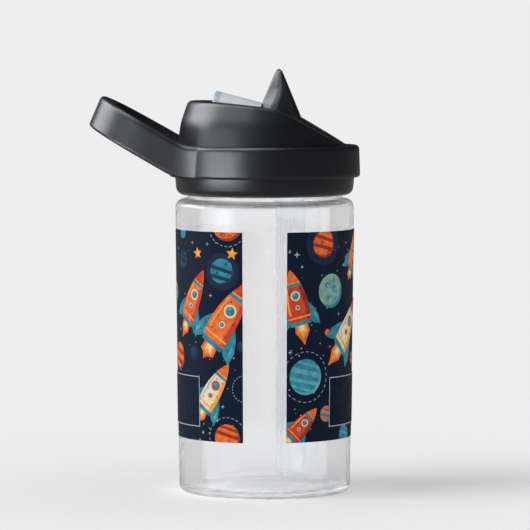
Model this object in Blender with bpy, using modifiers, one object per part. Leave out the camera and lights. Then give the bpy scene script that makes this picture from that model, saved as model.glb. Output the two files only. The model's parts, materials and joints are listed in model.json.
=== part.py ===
"""Kids' water bottle: a clear bottle with a printed wrap, and a screw cap with a carry loop,
a slotted dome and a flip-up straw spout.

Frame: origin on the bottle's axis in the plane it stands on, +Z up, the carry loop towards -X
and the spout's pivot along Y. Lengths are in metres.
"""

import math

import bmesh
import bpy
from mathutils import Matrix, Vector

MM = 0.001
GAP = 0.3 * MM                          # air kept between neighbouring solids
ROUND_STEPS = 48                        # facets round the large turned pieces
SMALL_STEPS = 24                        # facets round the small turned pieces
SOFT_EDGE = 0.5 * MM                    # rounding of the small moulded edges
CUT_PAST = 2.0 * MM                     # how far a cutting solid runs past the wall it cuts
WIDE_CUT_PAST = 5.0 * MM

# Bottle shell
BASE_RADIUS = 34.8 * MM
SHOULDER_RADIUS = 36.3 * MM
SHOULDER_TOP = 119.9 * MM
WALL = 1.8 * MM
FLOOR_THICKNESS = 3.0 * MM
BASE_CORNER = 3.2 * MM
SHOULDER_CORNER = 3.6 * MM
NECK_FOOT_FILLET = 0.8 * MM
NECK_MOUTH_FILLET = 1.0 * MM
NECK_RADIUS = 31.5 * MM
NECK_BORE = 29.5 * MM
NECK_TOP = 136.7 * MM
REST_RING_INNER = 24.0 * MM
REST_PAD_RADIUS = 17.0 * MM
BASE_RECESS = 0.8 * MM

# Printed wrap
WRAP_BOTTOM = 23.0 * MM
WRAP_TOP = 107.7 * MM
WRAP_STAND_OFF = 0.15 * MM
WRAP_THICKNESS = 0.25 * MM
WRAP_GAP_ANGLE = math.radians(28.4)
WRAP_GAP_CENTRE = math.radians(-87.6)   # direction of the clear gap, from +X towards +Y
WRAP_STATIONS = 60                      # flats round the sheet

# Screw thread between the neck and the cap
THREAD_PITCH = 5.0 * MM
THREAD_TURNS = 1.25
THREAD_ROOT_HALF = 0.9 * MM
THREAD_CREST_HALF = 0.45 * MM
THREAD_EMBED = 0.4 * MM
THREAD_RUN_OUT = 1.0 / 12.0             # part of a turn over which each end fades out
THREAD_FADED = 0.15                     # share of the rib's height left at its very end
THREAD_STEPS = 24                       # sections in one turn
NECK_THREAD_CREST = 32.7 * MM
NECK_THREAD_START = 125.2 * MM
CAP_THREAD_CREST = 31.9 * MM
CAP_THREAD_START = NECK_THREAD_START - THREAD_PITCH / 2

# Cap body
COLLAR_RADIUS = 36.6 * MM
COLLAR_FOOT_RADIUS = 35.9 * MM
COLLAR_BOTTOM = 121.5 * MM
COLLAR_CORNER = 3.2 * MM
CAP_BORE = 33.3 * MM
GASKET_HEIGHT = 1.4 * MM
GASKET_INSET = 0.1 * MM                 # from the edges of the neck's rim
GASKET_CORNER = 0.3 * MM
DECK_UNDERSIDE = NECK_TOP + GASKET_HEIGHT + 2 * GAP
DECK_TOP = DECK_UNDERSIDE + 1.5 * MM
SPIGOT_ROOT = 0.7 * MM                  # how far the spigot runs into the deck
PLUG_RADIUS = 28.9 * MM
PLUG_WALL = 1.8 * MM
PLUG_DEPTH = 4.5 * MM

# Band and carry loop
BAND_RADIUS = COLLAR_RADIUS + 2.2 * MM
BAND_BOTTOM = 128.7 * MM
BAND_TOP = 141.8 * MM
BAND_LIP = DECK_TOP + GAP
BAND_LIP_BORE = 36.0 * MM
BAND_TOP_FILLET = 1.5 * MM
BAND_FOOT_FILLET = 0.8 * MM
BAND_MOUTH_FILLET = 0.4 * MM
LOOP_TILT = math.radians(29.6)
LOOP_BEND_START = 27.9 * MM
LOOP_BEND_RADIUS = 18.0 * MM
LOOP_LENGTH = 74.5 * MM                 # along the strap from the cap's axis to the loop's end
LOOP_END_RADIUS = 24.0 * MM
LOOP_TAPER = math.radians(12.0)
LOOP_LEAN = 0.78                        # how much of the strap's tilt its walls follow
LOOP_ROOT = Vector((24.5, 29.4)) * MM   # along and across the strap, where it leaves the band
LOOP_ROOT_ANGLE = math.radians(36.0)
LOOP_ROOT_PULL = 7.0 * MM
LOOP_END_PULL = 12.0 * MM
LOOP_THICKNESS = 3.4 * MM
LOOP_HALF_HEIGHT = 6.75 * MM
LOOP_STEPS = 9

# Dome cover
DOME_FOOT_RADIUS = BAND_LIP_BORE - GAP
DOME_BOTTOM = DECK_TOP + GAP
DOME_WAIST_RADIUS = 34.3 * MM
DOME_WAIST = 150.8 * MM
DOME_CROWN_RADIUS = 31.2 * MM
DOME_CROWN = 159.9 * MM
DOME_WAIST_BLEND = 25.0 * MM
DOME_CROWN_FILLET = 2.6 * MM
DOME_WALL = 2.0 * MM
CHEEK_BACK = Vector((-60.0, 161.4)) * MM    # the dome's side line, from its back down to the ramp's foot
CHEEK_CREST = Vector((-18.0, 159.3)) * MM
CHEEK_FRONT = Vector((6.0, 156.6)) * MM
RAMP_TOP = Vector((14.9, 151.85)) * MM
RAMP_FOOT = Vector((50.0, 132.0)) * MM
CREST_BLEND = 60.0 * MM
FRONT_BLEND = 30.0 * MM
RAMP_BLEND = 3.0 * MM
SIDE_REACH = 60.0 * MM                  # half length of the solids that shape the dome from its side
SIDE_FLOOR = 110.0 * MM
SLOT_HALF_WIDTH = 9.0 * MM
SLOT_END = -25.2 * MM
SLOT_CORNER = 5.0 * MM
SLOT_WALL = 1.6 * MM

# Spout
PIVOT = Vector((10.7, 0.0, 147.7)) * MM
SPOUT_TILT = math.radians(15.0)         # the folded spout's slope, rising towards -X
BARREL_RADIUS = 5.5 * MM
BARREL_HALF_LENGTH = 7.8 * MM
TRUNNION_RADIUS = 2.4 * MM
TRUNNION_REACH = 10.2 * MM
SHOULDER_START = 3.5 * MM
SHOULDER_FULL = 9.0 * MM
SHOULDER_END = 13.7 * MM
SHOULDER_START_RADIUS = 5.0 * MM
NOZZLE_SHOULDER_RADIUS = 7.4 * MM
NOZZLE_RADIUS = 4.6 * MM
NOZZLE_END = 27.0 * MM
CHANNEL_RADIUS = 2.6 * MM

# Thumb fin on the spout's barrel
FIN_FOOT = 151.5 * MM
FIN_TOP = 172.7 * MM
FIN_BURIED = 148.5 * MM                 # how deep its root runs into the barrel
FIN_FRONT = -0.2 * MM
FIN_UPRIGHT = 0.326                     # height, 0 to 1, up to which the front stands upright
FIN_FRONT_LEAN = 8.9 * MM
FIN_BACK = 15.3 * MM
FIN_BACK_LEAN = 8.5 * MM
FIN_HALF_WIDTH = 8.0 * MM
FIN_NARROWING = 6.2 * MM
FIN_NARROWING_POWER = 1.4
FIN_WEDGE_FOOT = 0.15                   # share of the fin's length that its wedge takes
FIN_WEDGE_TOP = 0.6
FIN_NOSE = 0.3                          # half width of the wedge's blunt edge, in half widths
FIN_LEVELS = ((0.0, 1.0), (0.15, 1.0), (0.326, 1.0), (0.5, 1.0), (0.65, 1.0), (0.8, 1.0), (0.93, 1.0),
              (1.0, 0.45))  # (height, size of the section) pairs

# Bite valve
VALVE_RADIUS = 7.7 * MM
VALVE_START = SHOULDER_END + GAP
VALVE_END = 33.8 * MM
VALVE_SOCKET_RADIUS = NOZZLE_RADIUS + GAP
VALVE_TIP = 2.6 * MM
SLIT_LENGTH = 7.0 * MM
SLIT_WIDTH = 0.6 * MM
VALVE_LIP_FILLET = 1.0 * MM
VALVE_FOOT_FILLET = 0.4 * MM

# Straw, seal and vent valve
STRAW_RADIUS = 6.1 * MM
STRAW_WALL = 1.0 * MM
STRAW_BOTTOM = 7.7 * MM
SPIGOT_RADIUS = STRAW_RADIUS - STRAW_WALL - GAP
SPIGOT_BOTTOM = 126.0 * MM
PORT_RADIUS = 3.3 * MM
SEAL_RADIUS = 4.8 * MM
SEAL_TOP = 142.9 * MM
VENT_X = -14.0 * MM
VENT_DISC_RADIUS = 5.0 * MM
VENT_STEM_RADIUS = 1.6 * MM
VENT_BARB_RADIUS = 2.4 * MM
VENT_AIR_HOLE_RADIUS = 0.8 * MM
VENT_AIR_HOLE_CIRCLE = 3.4 * MM
VENT_AIR_HOLES = 4
VENT_RIM_THICKNESS = 0.6 * MM
VENT_DISC_THICKNESS = 1.2 * MM
VENT_BARB_LIP = 0.4 * MM
VENT_BARB_HEIGHT = 1.3 * MM

BLACK = (0.018, 0.019, 0.021, 1.0)


def clear_scene():
    """Empties the start-up scene."""
    for item in list(bpy.data.objects):
        bpy.data.objects.remove(item, do_unlink=True)


def new_collection(name):
    collection = bpy.data.collections.new(name)
    bpy.context.scene.collection.children.link(collection)
    return collection


def material(name, color, roughness, metallic=0.0, alpha=1.0):
    """A plain Principled material."""
    result = bpy.data.materials.new(name)
    result.use_nodes = True
    shader = result.node_tree.nodes["Principled BSDF"]
    shader.inputs["Base Color"].default_value = color
    shader.inputs["Roughness"].default_value = roughness
    shader.inputs["Metallic"].default_value = metallic
    shader.inputs["Alpha"].default_value = alpha
    result.diffuse_color = (*color[:3], alpha)
    return result


def new_object(name, mesh, collection):
    result = bpy.data.objects.new(name, mesh)
    collection.objects.link(result)
    return result


def from_bmesh(name, bm, collection):
    """Turns a finished bmesh into an object with outward faces."""
    bmesh.ops.recalc_face_normals(bm, faces=bm.faces)
    mesh = bpy.data.meshes.new(name)
    bm.to_mesh(mesh)
    bm.free()
    return new_object(name, mesh, collection)


def finish(piece, look, parent=None):
    """Gives a piece its material, smooth round faces and its parent."""
    piece.data.materials.append(look)
    piece.data.shade_smooth()
    piece.data.set_sharp_from_angle(angle=math.radians(32.0))
    if parent is not None:
        bpy.context.view_layer.update()
        piece.parent = parent
        piece.matrix_parent_inverse = parent.matrix_world.inverted()
    return piece


def as_cutter(piece):
    piece.hide_render = True
    piece.display_type = "WIRE"
    return piece


def boolean(piece, tool, operation):
    """Adds an exact boolean with another solid."""
    modifier = piece.modifiers.new(operation.lower() + "_" + tool.name, "BOOLEAN")
    modifier.operation = operation
    modifier.object = tool
    modifier.solver = "EXACT"
    return piece


def rounded(corners, steps=2):
    """An outline of (x, z, corner radius) points, with each corner turned by an arc."""
    points = []
    count = len(corners)
    for index, (x, z, radius) in enumerate(corners):
        here = Vector((x, z))
        if radius <= 0.0:
            points.append(here)
            continue
        before = (Vector(corners[index - 1][:2]) - here).normalized()
        after = (Vector(corners[(index + 1) % count][:2]) - here).normalized()
        half = before.angle(after) / 2.0
        centre = here + (before + after).normalized() * radius / math.sin(half)
        spoke = here + before * radius / math.tan(half) - centre
        last = here + after * radius / math.tan(half) - centre
        sweep = math.atan2(spoke.x * last.y - spoke.y * last.x, spoke.dot(last))
        for step in range(steps + 1):
            points.append(centre + Matrix.Rotation(sweep * step / steps, 2) @ spoke)
    return points


def turned(name, outline, collection, steps=ROUND_STEPS, closed=True):
    """A solid turned about Z from an outline that runs down its outer side.

    A closed outline makes a ring; an open one starts and ends on the axis.
    """
    count = len(outline)
    edges = [(index, index + 1) for index in range(count - 1)]
    if closed:
        edges.append((count - 1, 0))
    mesh = bpy.data.meshes.new(name)
    mesh.from_pydata([(point[0], 0.0, point[1]) for point in outline], edges, [])
    piece = new_object(name, mesh, collection)
    screw = piece.modifiers.new("turn", "SCREW")
    screw.axis = "Z"
    screw.angle = math.tau
    screw.steps = steps
    screw.render_steps = steps
    screw.use_merge_vertices = True
    screw.merge_threshold = 0.00001
    if not closed:
        weld = piece.modifiers.new("close_poles", "WELD")
        weld.merge_threshold = 0.00001
    return piece


def rod(name, start, end, radius, collection, end_radius=None, steps=SMALL_STEPS):
    """A cylinder, or a cone, from one point to another."""
    along = end - start
    placed = Matrix.Translation((start + end) / 2) @ along.to_track_quat("Z", "Y").to_matrix().to_4x4()
    bm = bmesh.new()
    bmesh.ops.create_cone(
        bm,
        cap_ends=True,
        segments=steps,
        radius1=radius,
        radius2=radius if end_radius is None else end_radius,
        depth=along.length,
        matrix=placed,
    )
    return from_bmesh(name, bm, collection)


def lay_along(piece, start, way):
    """Moves a piece made upright so that its +Z runs from a start point along a direction."""
    piece.matrix_world = Matrix.Translation(start) @ way.to_track_quat("Z", "Y").to_matrix().to_4x4()
    return piece


def prism(name, outline, axis, low, high, collection):
    """A flat outline carried from low to high along Y (an XZ outline) or Z (an XY outline)."""
    bm = bmesh.new()
    if axis == "Y":
        corners = [bm.verts.new((point[0], low, point[1])) for point in outline]
        travel = Vector((0.0, high - low, 0.0))
    else:
        corners = [bm.verts.new((point[0], point[1], low)) for point in outline]
        travel = Vector((0.0, 0.0, high - low))
    face = bm.faces.new(corners)
    extruded = bmesh.ops.extrude_face_region(bm, geom=[face])
    moved = [item for item in extruded["geom"] if isinstance(item, bmesh.types.BMVert)]
    bmesh.ops.translate(bm, verts=moved, vec=travel)
    return from_bmesh(name, bm, collection)


def loft(name, rings, collection):
    """A solid skinned over rings of the same number of points, closed at both ends."""
    bm = bmesh.new()
    rows = [[bm.verts.new(point) for point in ring] for ring in rings]
    count = len(rows[0])
    for lower, upper in zip(rows, rows[1:]):
        for index in range(count):
            after = (index + 1) % count
            bm.faces.new((lower[index], lower[after], upper[after], upper[index]))
    bm.faces.new(rows[0])
    bm.faces.new(rows[-1])
    return from_bmesh(name, bm, collection)


def helical_rib(name, wall_radius, crest_radius, start_height, collection):
    """A trapezoid thread rib, right-handed, fading into its wall at both ends."""
    outwards = 1.0 if crest_radius > wall_radius else -1.0
    root = wall_radius - outwards * THREAD_EMBED
    count = round(THREAD_TURNS * THREAD_STEPS)
    rings = []
    for step in range(count + 1):
        turn = step / THREAD_STEPS
        fade = min(turn, THREAD_TURNS - turn) / THREAD_RUN_OUT
        crest = root + (crest_radius - root) * min(max(fade, THREAD_FADED), 1.0)
        height = start_height + THREAD_PITCH * turn
        spoke = Vector((math.cos(math.tau * turn), math.sin(math.tau * turn), 0.0))
        ring = []
        for radius, rise in (
            (root, -THREAD_ROOT_HALF),
            (crest, -THREAD_CREST_HALF),
            (crest, THREAD_CREST_HALF),
            (root, THREAD_ROOT_HALF),
        ):
            ring.append(spoke * radius + Vector((0.0, 0.0, height + rise)))
        rings.append(ring)
    return as_cutter(loft(name, rings, collection))


def wall_radius_at(height):
    """The bottle's drafted outer radius."""
    return BASE_RADIUS + (SHOULDER_RADIUS - BASE_RADIUS) * height / SHOULDER_TOP


def make_bottle_shell(parts, cutters, look):
    inner_top = SHOULDER_TOP - WALL
    outline = rounded([
        (0.0, FLOOR_THICKNESS, 0.0),
        (wall_radius_at(0.0) - WALL, FLOOR_THICKNESS, BASE_CORNER - WALL),
        (wall_radius_at(inner_top) - WALL, inner_top, SHOULDER_CORNER - WALL),
        (NECK_BORE, inner_top, NECK_MOUTH_FILLET),
        (NECK_BORE, NECK_TOP, SOFT_EDGE),
        (NECK_RADIUS, NECK_TOP, SOFT_EDGE),
        (NECK_RADIUS, SHOULDER_TOP, NECK_FOOT_FILLET),
        (SHOULDER_RADIUS, SHOULDER_TOP, SHOULDER_CORNER),
        (BASE_RADIUS, 0.0, BASE_CORNER),
        (REST_RING_INNER, 0.0, 0.0),
        (REST_RING_INNER - BASE_RECESS, BASE_RECESS, 0.0),
        (REST_PAD_RADIUS + BASE_RECESS, BASE_RECESS, 0.0),
        (REST_PAD_RADIUS, 0.0, 0.0),
        (0.0, 0.0, 0.0),
    ])
    shell = turned("bottle_shell", outline, parts, closed=False)
    rib = helical_rib("neck_thread", NECK_RADIUS, NECK_THREAD_CREST, NECK_THREAD_START, cutters)
    boolean(shell, rib, "UNION")
    return finish(shell, look)


def make_printed_wrap(parts, look):
    """A thin drafted sheet that follows the wall on all sides but the clear gap."""
    sweep = math.tau - WRAP_GAP_ANGLE
    first = WRAP_GAP_CENTRE + WRAP_GAP_ANGLE / 2
    rings = []
    for step in range(WRAP_STATIONS + 1):
        angle = first + sweep * step / WRAP_STATIONS
        spoke = Vector((math.cos(angle), math.sin(angle), 0.0))
        ring = []
        for height, layer in (
            (WRAP_BOTTOM, 0.0),
            (WRAP_BOTTOM, WRAP_THICKNESS),
            (WRAP_TOP, WRAP_THICKNESS),
            (WRAP_TOP, 0.0),
        ):
            radius = wall_radius_at(height) + WRAP_STAND_OFF + layer
            ring.append(spoke * radius + Vector((0.0, 0.0, height)))
        rings.append(ring)
    return finish(loft("printed_wrap", rings, parts), look)


def make_cap_body(parts, cutters, look, parent):
    outline = rounded([
        (0.0, DECK_TOP, 0.0),
        (COLLAR_RADIUS, DECK_TOP, SOFT_EDGE),
        (COLLAR_RADIUS, BAND_BOTTOM, 0.0),
        (COLLAR_FOOT_RADIUS, COLLAR_BOTTOM, COLLAR_CORNER),
        (CAP_BORE, COLLAR_BOTTOM, SOFT_EDGE),
        (CAP_BORE, DECK_UNDERSIDE, 0.0),
        (PLUG_RADIUS, DECK_UNDERSIDE, 0.0),
        (PLUG_RADIUS, DECK_UNDERSIDE - PLUG_DEPTH, SOFT_EDGE),
        (PLUG_RADIUS - PLUG_WALL, DECK_UNDERSIDE - PLUG_DEPTH, SOFT_EDGE),
        (PLUG_RADIUS - PLUG_WALL, DECK_UNDERSIDE, 0.0),
        (0.0, DECK_UNDERSIDE, 0.0),
    ])
    cap = turned("cap_body", outline, parts, closed=False)
    boolean(cap, helical_rib("cap_thread", CAP_BORE, CAP_THREAD_CREST, CAP_THREAD_START, cutters), "UNION")

    port_axis = Vector((PIVOT.x, 0.0, 0.0))
    spigot_top = port_axis + Vector((0.0, 0.0, DECK_UNDERSIDE + SPIGOT_ROOT))
    spigot_foot = port_axis + Vector((0.0, 0.0, SPIGOT_BOTTOM))
    spigot = as_cutter(rod("straw_spigot", spigot_foot, spigot_top, SPIGOT_RADIUS, cutters))
    boolean(cap, spigot, "UNION")

    below = Vector((0.0, 0.0, SPIGOT_BOTTOM - CUT_PAST))
    above = Vector((0.0, 0.0, DECK_TOP + CUT_PAST))
    port = as_cutter(rod("straw_port", port_axis + below, port_axis + above, PORT_RADIUS, cutters))
    boolean(cap, port, "DIFFERENCE")
    vent_axis = Vector((VENT_X, 0.0, 0.0))
    stem_hole = as_cutter(
        rod("vent_stem_hole", vent_axis + below, vent_axis + above, VENT_STEM_RADIUS + GAP, cutters, steps=16)
    )
    boolean(cap, stem_hole, "DIFFERENCE")
    for index in range(VENT_AIR_HOLES):
        angle = math.tau * (index + 0.5) / VENT_AIR_HOLES
        offset = Vector((math.cos(angle), math.sin(angle), 0.0)) * VENT_AIR_HOLE_CIRCLE
        start = vent_axis + offset + below
        end = vent_axis + offset + above
        hole = rod(f"vent_air_hole_{index + 1}", start, end, VENT_AIR_HOLE_RADIUS, cutters, steps=8)
        boolean(cap, as_cutter(hole), "DIFFERENCE")
    return finish(cap, look, parent)


def make_cap_gasket(parts, look, parent):
    low = NECK_TOP + GAP
    outline = rounded([
        (NECK_RADIUS - GASKET_INSET, low + GASKET_HEIGHT, GASKET_CORNER),
        (NECK_RADIUS - GASKET_INSET, low, GASKET_CORNER),
        (NECK_BORE + GASKET_INSET, low, GASKET_CORNER),
        (NECK_BORE + GASKET_INSET, low + GASKET_HEIGHT, GASKET_CORNER),
    ], steps=1)
    return finish(turned("cap_gasket", outline, parts), look, parent)


def strap_point(reach, across, height):
    """A point of the bent strap: reach along it from the cap's axis, across it, and height in it."""
    bend = min(max((reach - LOOP_BEND_START) / LOOP_BEND_RADIUS, 0.0), LOOP_TILT)
    straight = max(reach - LOOP_BEND_START - LOOP_BEND_RADIUS * LOOP_TILT, 0.0)
    flat = min(reach, LOOP_BEND_START)
    x = -(flat + LOOP_BEND_RADIUS * math.sin(bend) + straight * math.cos(LOOP_TILT))
    z = LOOP_BEND_RADIUS * (1.0 - math.cos(bend)) + straight * math.sin(LOOP_TILT)
    middle = Vector((x, across, (BAND_BOTTOM + BAND_TOP) / 2 + z))
    lean = bend * LOOP_LEAN
    return middle + Vector((math.sin(lean), 0.0, math.cos(lean))) * height


def loop_edge():
    """Half of the loop's outer edge in the flat strap: (point, outward direction) pairs.

    A curve leaves the band and straightens into the arm, and a round end follows it.
    """
    centre = Vector((LOOP_LENGTH - LOOP_END_RADIUS, 0.0))
    arm_end = centre + Vector((math.sin(LOOP_TAPER), math.cos(LOOP_TAPER))) * LOOP_END_RADIUS
    root_way = Vector((math.cos(LOOP_ROOT_ANGLE), -math.sin(LOOP_ROOT_ANGLE)))
    arm_way = Vector((math.cos(LOOP_TAPER), -math.sin(LOOP_TAPER)))
    controls = (LOOP_ROOT, LOOP_ROOT + root_way * LOOP_ROOT_PULL, arm_end - arm_way * LOOP_END_PULL, arm_end)
    edge = []
    for step in range(LOOP_STEPS):
        t = step / LOOP_STEPS
        u = 1.0 - t
        point = controls[0] * u**3 + controls[1] * 3 * u * u * t
        point += controls[2] * 3 * u * t * t + controls[3] * t**3
        way = (controls[1] - controls[0]) * u * u + (controls[2] - controls[1]) * 2 * u * t
        way = (way + (controls[3] - controls[2]) * t * t).normalized()
        edge.append((point, Vector((-way.y, way.x))))
    for step in range(LOOP_STEPS + 1):
        angle = LOOP_TAPER + (math.pi / 2 - LOOP_TAPER) * step / LOOP_STEPS
        outward = Vector((math.sin(angle), math.cos(angle)))
        edge.append((centre + outward * LOOP_END_RADIUS, outward))
    return edge


def make_carry_handle(parts, cutters, look, parent):
    outline = rounded([
        (BAND_RADIUS, BAND_TOP, BAND_TOP_FILLET),
        (BAND_RADIUS, BAND_BOTTOM, BAND_FOOT_FILLET),
        (COLLAR_RADIUS + GAP, BAND_BOTTOM, 0.0),
        (COLLAR_RADIUS + GAP, BAND_LIP, 0.0),
        (BAND_LIP_BORE, BAND_LIP, 0.0),
        (BAND_LIP_BORE, BAND_TOP, BAND_MOUTH_FILLET),
    ])
    handle = turned("carry_handle", outline, parts)

    half = loop_edge()
    mirrored = [(Vector((p.x, -p.y)), Vector((n.x, -n.y))) for p, n in reversed(half[:-1])]
    rings = []
    for point, outward in half + mirrored:
        inner = point - outward * LOOP_THICKNESS
        rings.append([
            strap_point(point.x, point.y, -LOOP_HALF_HEIGHT),
            strap_point(point.x, point.y, LOOP_HALF_HEIGHT),
            strap_point(inner.x, inner.y, LOOP_HALF_HEIGHT),
            strap_point(inner.x, inner.y, -LOOP_HALF_HEIGHT),
        ])
    strap = as_cutter(loft("loop_strap", rings, cutters))
    low = Vector((0.0, 0.0, BAND_BOTTOM - WIDE_CUT_PAST))
    high = Vector((0.0, 0.0, BAND_TOP + WIDE_CUT_PAST))
    bore = as_cutter(rod("loop_root_bore", low, high, COLLAR_RADIUS + 2 * GAP, cutters, steps=ROUND_STEPS))
    boolean(strap, bore, "DIFFERENCE")
    boolean(handle, strap, "UNION")
    return finish(handle, look, parent)


def dome_blank(name, inset, collection):
    """The dome turned as a full cone, drawn in by an inset."""
    bottom = DOME_BOTTOM - inset
    outline = rounded([
        (0.0, DOME_CROWN - inset, 0.0),
        (DOME_CROWN_RADIUS - inset, DOME_CROWN - inset, DOME_CROWN_FILLET),
        (DOME_WAIST_RADIUS - inset, DOME_WAIST, DOME_WAIST_BLEND),
        (DOME_FOOT_RADIUS - inset, bottom, 0.0),
        (0.0, bottom, 0.0),
    ])
    return turned(name, outline, collection, closed=False)


def dome_side(name, drop, collection):
    """The dome's side view: the crown, the long cheek line and the ramp, lowered by a drop."""
    outline = rounded([
        (-SIDE_REACH, SIDE_FLOOR, 0.0),
        (SIDE_REACH, SIDE_FLOOR, 0.0),
        (RAMP_FOOT.x, RAMP_FOOT.y - drop, 0.0),
        (RAMP_TOP.x, RAMP_TOP.y - drop, RAMP_BLEND),
        (CHEEK_FRONT.x, CHEEK_FRONT.y - drop, FRONT_BLEND),
        (CHEEK_CREST.x, CHEEK_CREST.y - drop, CREST_BLEND),
        (CHEEK_BACK.x, CHEEK_BACK.y - drop, 0.0),
    ])
    return as_cutter(prism(name, outline, "Y", -SIDE_REACH, SIDE_REACH, collection))


def slot_block(name, widen, collection):
    """The lengthwise slot, open at its +X end and round at the other."""
    half = SLOT_HALF_WIDTH + widen
    end = SLOT_END - widen
    outline = rounded([
        (end, -half, SLOT_CORNER + widen),
        (SIDE_REACH, -half, 0.0),
        (SIDE_REACH, half, 0.0),
        (end, half, SLOT_CORNER + widen),
    ])
    low = DOME_BOTTOM - WIDE_CUT_PAST
    high = DOME_CROWN + WIDE_CUT_PAST
    return as_cutter(prism(name, outline, "Z", low, high, collection))


def make_dome_cover(parts, cutters, look, parent):
    dome = dome_blank("dome_cover", 0.0, parts)
    boolean(dome, dome_side("dome_side", 0.0, cutters), "INTERSECT")
    boolean(dome, slot_block("dome_slot", 0.0, cutters), "DIFFERENCE")

    hollow = as_cutter(dome_blank("dome_hollow", DOME_WALL, cutters))
    boolean(hollow, dome_side("dome_hollow_side", DOME_WALL, cutters), "INTERSECT")
    boolean(hollow, slot_block("dome_hollow_slot", SLOT_WALL, cutters), "DIFFERENCE")
    boolean(dome, hollow, "DIFFERENCE")

    reach = Vector((0.0, SLOT_HALF_WIDTH + SLOT_WALL + CUT_PAST, 0.0))
    bearing = as_cutter(rod("trunnion_bore", PIVOT - reach, PIVOT + reach, TRUNNION_RADIUS + GAP, cutters))
    boolean(dome, bearing, "DIFFERENCE")
    return finish(dome, look, parent)


def spout_way():
    """The folded spout's direction from its pivot."""
    return Vector((-math.cos(SPOUT_TILT), 0.0, math.sin(SPOUT_TILT)))


def fin_section(height):
    """The thumb fin's outline at a height above its foot, 0 to 1: a wedge in front, a flat back."""
    front = FIN_FRONT + FIN_FRONT_LEAN * max(height - FIN_UPRIGHT, 0.0)
    back = FIN_BACK - FIN_BACK_LEAN * height
    half = FIN_HALF_WIDTH - FIN_NARROWING * height**FIN_NARROWING_POWER
    wedge_share = FIN_WEDGE_FOOT + (FIN_WEDGE_TOP - FIN_WEDGE_FOOT) * min(height * 1.6, 1.0)
    wedge = front + (back - front) * wedge_share
    side = [
        Vector((front, half * FIN_NOSE)),
        Vector((front + (wedge - front) * 0.6, half * 0.78)),
        Vector((wedge, half * 0.97)),
        Vector((wedge + (back - wedge) * 0.3, half)),
        Vector((back, half * 0.92)),
    ]
    return side + [Vector((p.x, -p.y)) for p in reversed(side)]


def make_fin(cutters):
    """The shark-fin tab: a loft of wedge sections that narrows to a blunt tip."""
    rings = []
    for height, size in FIN_LEVELS:
        outline = fin_section(height)
        middle = (outline[0].x + outline[4].x) / 2
        level = FIN_FOOT + (FIN_TOP - FIN_FOOT) * height
        rings.append([Vector((middle + (p.x - middle) * size, p.y * size, level)) for p in outline])
    middle = (FIN_FRONT + FIN_BACK) / 2
    buried = [Vector((middle + (p.x - middle) * 0.5, p.y * 0.9, FIN_BURIED)) for p in rings[0]]
    return as_cutter(loft("thumb_fin", [buried] + rings, cutters))


def make_spout(parts, cutters, look, parent):
    way = spout_way()
    side = Vector((0.0, 1.0, 0.0))
    barrel_end = side * BARREL_HALF_LENGTH
    spout = rod("spout", PIVOT - barrel_end, PIVOT + barrel_end, BARREL_RADIUS, parts, steps=32)
    trunnion_end = side * TRUNNION_REACH
    trunnions = rod("trunnions", PIVOT - trunnion_end, PIVOT + trunnion_end, TRUNNION_RADIUS, cutters)
    blank = rounded([
        (0.0, NOZZLE_END, 0.0),
        (NOZZLE_RADIUS, NOZZLE_END, 0.0),
        (NOZZLE_RADIUS, SHOULDER_END, 0.0),
        (NOZZLE_SHOULDER_RADIUS, SHOULDER_END, SOFT_EDGE),
        (NOZZLE_SHOULDER_RADIUS, SHOULDER_FULL, 0.0),
        (SHOULDER_START_RADIUS, SHOULDER_START, 0.0),
        (SHOULDER_START_RADIUS * 0.8, 0.0, 0.0),
        (0.0, 0.0, 0.0),
    ], steps=1)
    nozzle = lay_along(turned("nozzle", blank, cutters, steps=28, closed=False), PIVOT, way)
    for item in (trunnions, nozzle, make_fin(cutters)):
        boolean(spout, as_cutter(item), "UNION")

    channel = rod("channel", PIVOT, PIVOT + way * (NOZZLE_END + CUT_PAST), CHANNEL_RADIUS, cutters, steps=16)
    inlet_end = PIVOT + Vector((BARREL_RADIUS + CUT_PAST, 0.0, 0.0))
    inlet = rod("inlet", PIVOT, inlet_end, CHANNEL_RADIUS, cutters, steps=16)
    boolean(spout, as_cutter(channel), "DIFFERENCE")
    boolean(spout, as_cutter(inlet), "DIFFERENCE")
    return finish(spout, look, parent)


def make_bite_valve(parts, cutters, look, parent):
    """A sleeve over the nozzle with a thick, slit end, turned upright and then laid in the slot."""
    length = VALVE_END - VALVE_START
    outline = rounded([
        (0.0, length, 0.0),
        (VALVE_RADIUS, length, VALVE_LIP_FILLET),
        (VALVE_RADIUS, 0.0, VALVE_FOOT_FILLET),
        (VALVE_SOCKET_RADIUS, 0.0, 0.0),
        (VALVE_SOCKET_RADIUS, length - VALVE_TIP, 0.0),
        (0.0, length - VALVE_TIP, 0.0),
    ])
    valve = turned("bite_valve", outline, parts, steps=32, closed=False)
    slit_outline = [
        (-SLIT_WIDTH / 2, -SLIT_LENGTH / 2),
        (SLIT_WIDTH / 2, -SLIT_LENGTH / 2),
        (SLIT_WIDTH / 2, SLIT_LENGTH / 2),
        (-SLIT_WIDTH / 2, SLIT_LENGTH / 2),
    ]
    low = length - VALVE_TIP - CUT_PAST
    slit = as_cutter(prism("valve_slit", slit_outline, "Z", low, length + CUT_PAST, cutters))
    boolean(valve, slit, "DIFFERENCE")
    way = spout_way()
    lay_along(valve, PIVOT + way * VALVE_START, way)
    lay_along(slit, PIVOT + way * VALVE_START, way)
    return finish(valve, look, parent)


def make_straw(parts, look, parent):
    top = DECK_UNDERSIDE - GAP
    outline = rounded([
        (STRAW_RADIUS, top, 0.0),
        (STRAW_RADIUS, STRAW_BOTTOM, 0.0),
        (STRAW_RADIUS - STRAW_WALL, STRAW_BOTTOM, 0.0),
        (STRAW_RADIUS - STRAW_WALL, top, 0.0),
    ])
    straw = turned("straw", outline, parts, steps=SMALL_STEPS)
    straw.location.x = PIVOT.x
    return finish(straw, look, parent)


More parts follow.
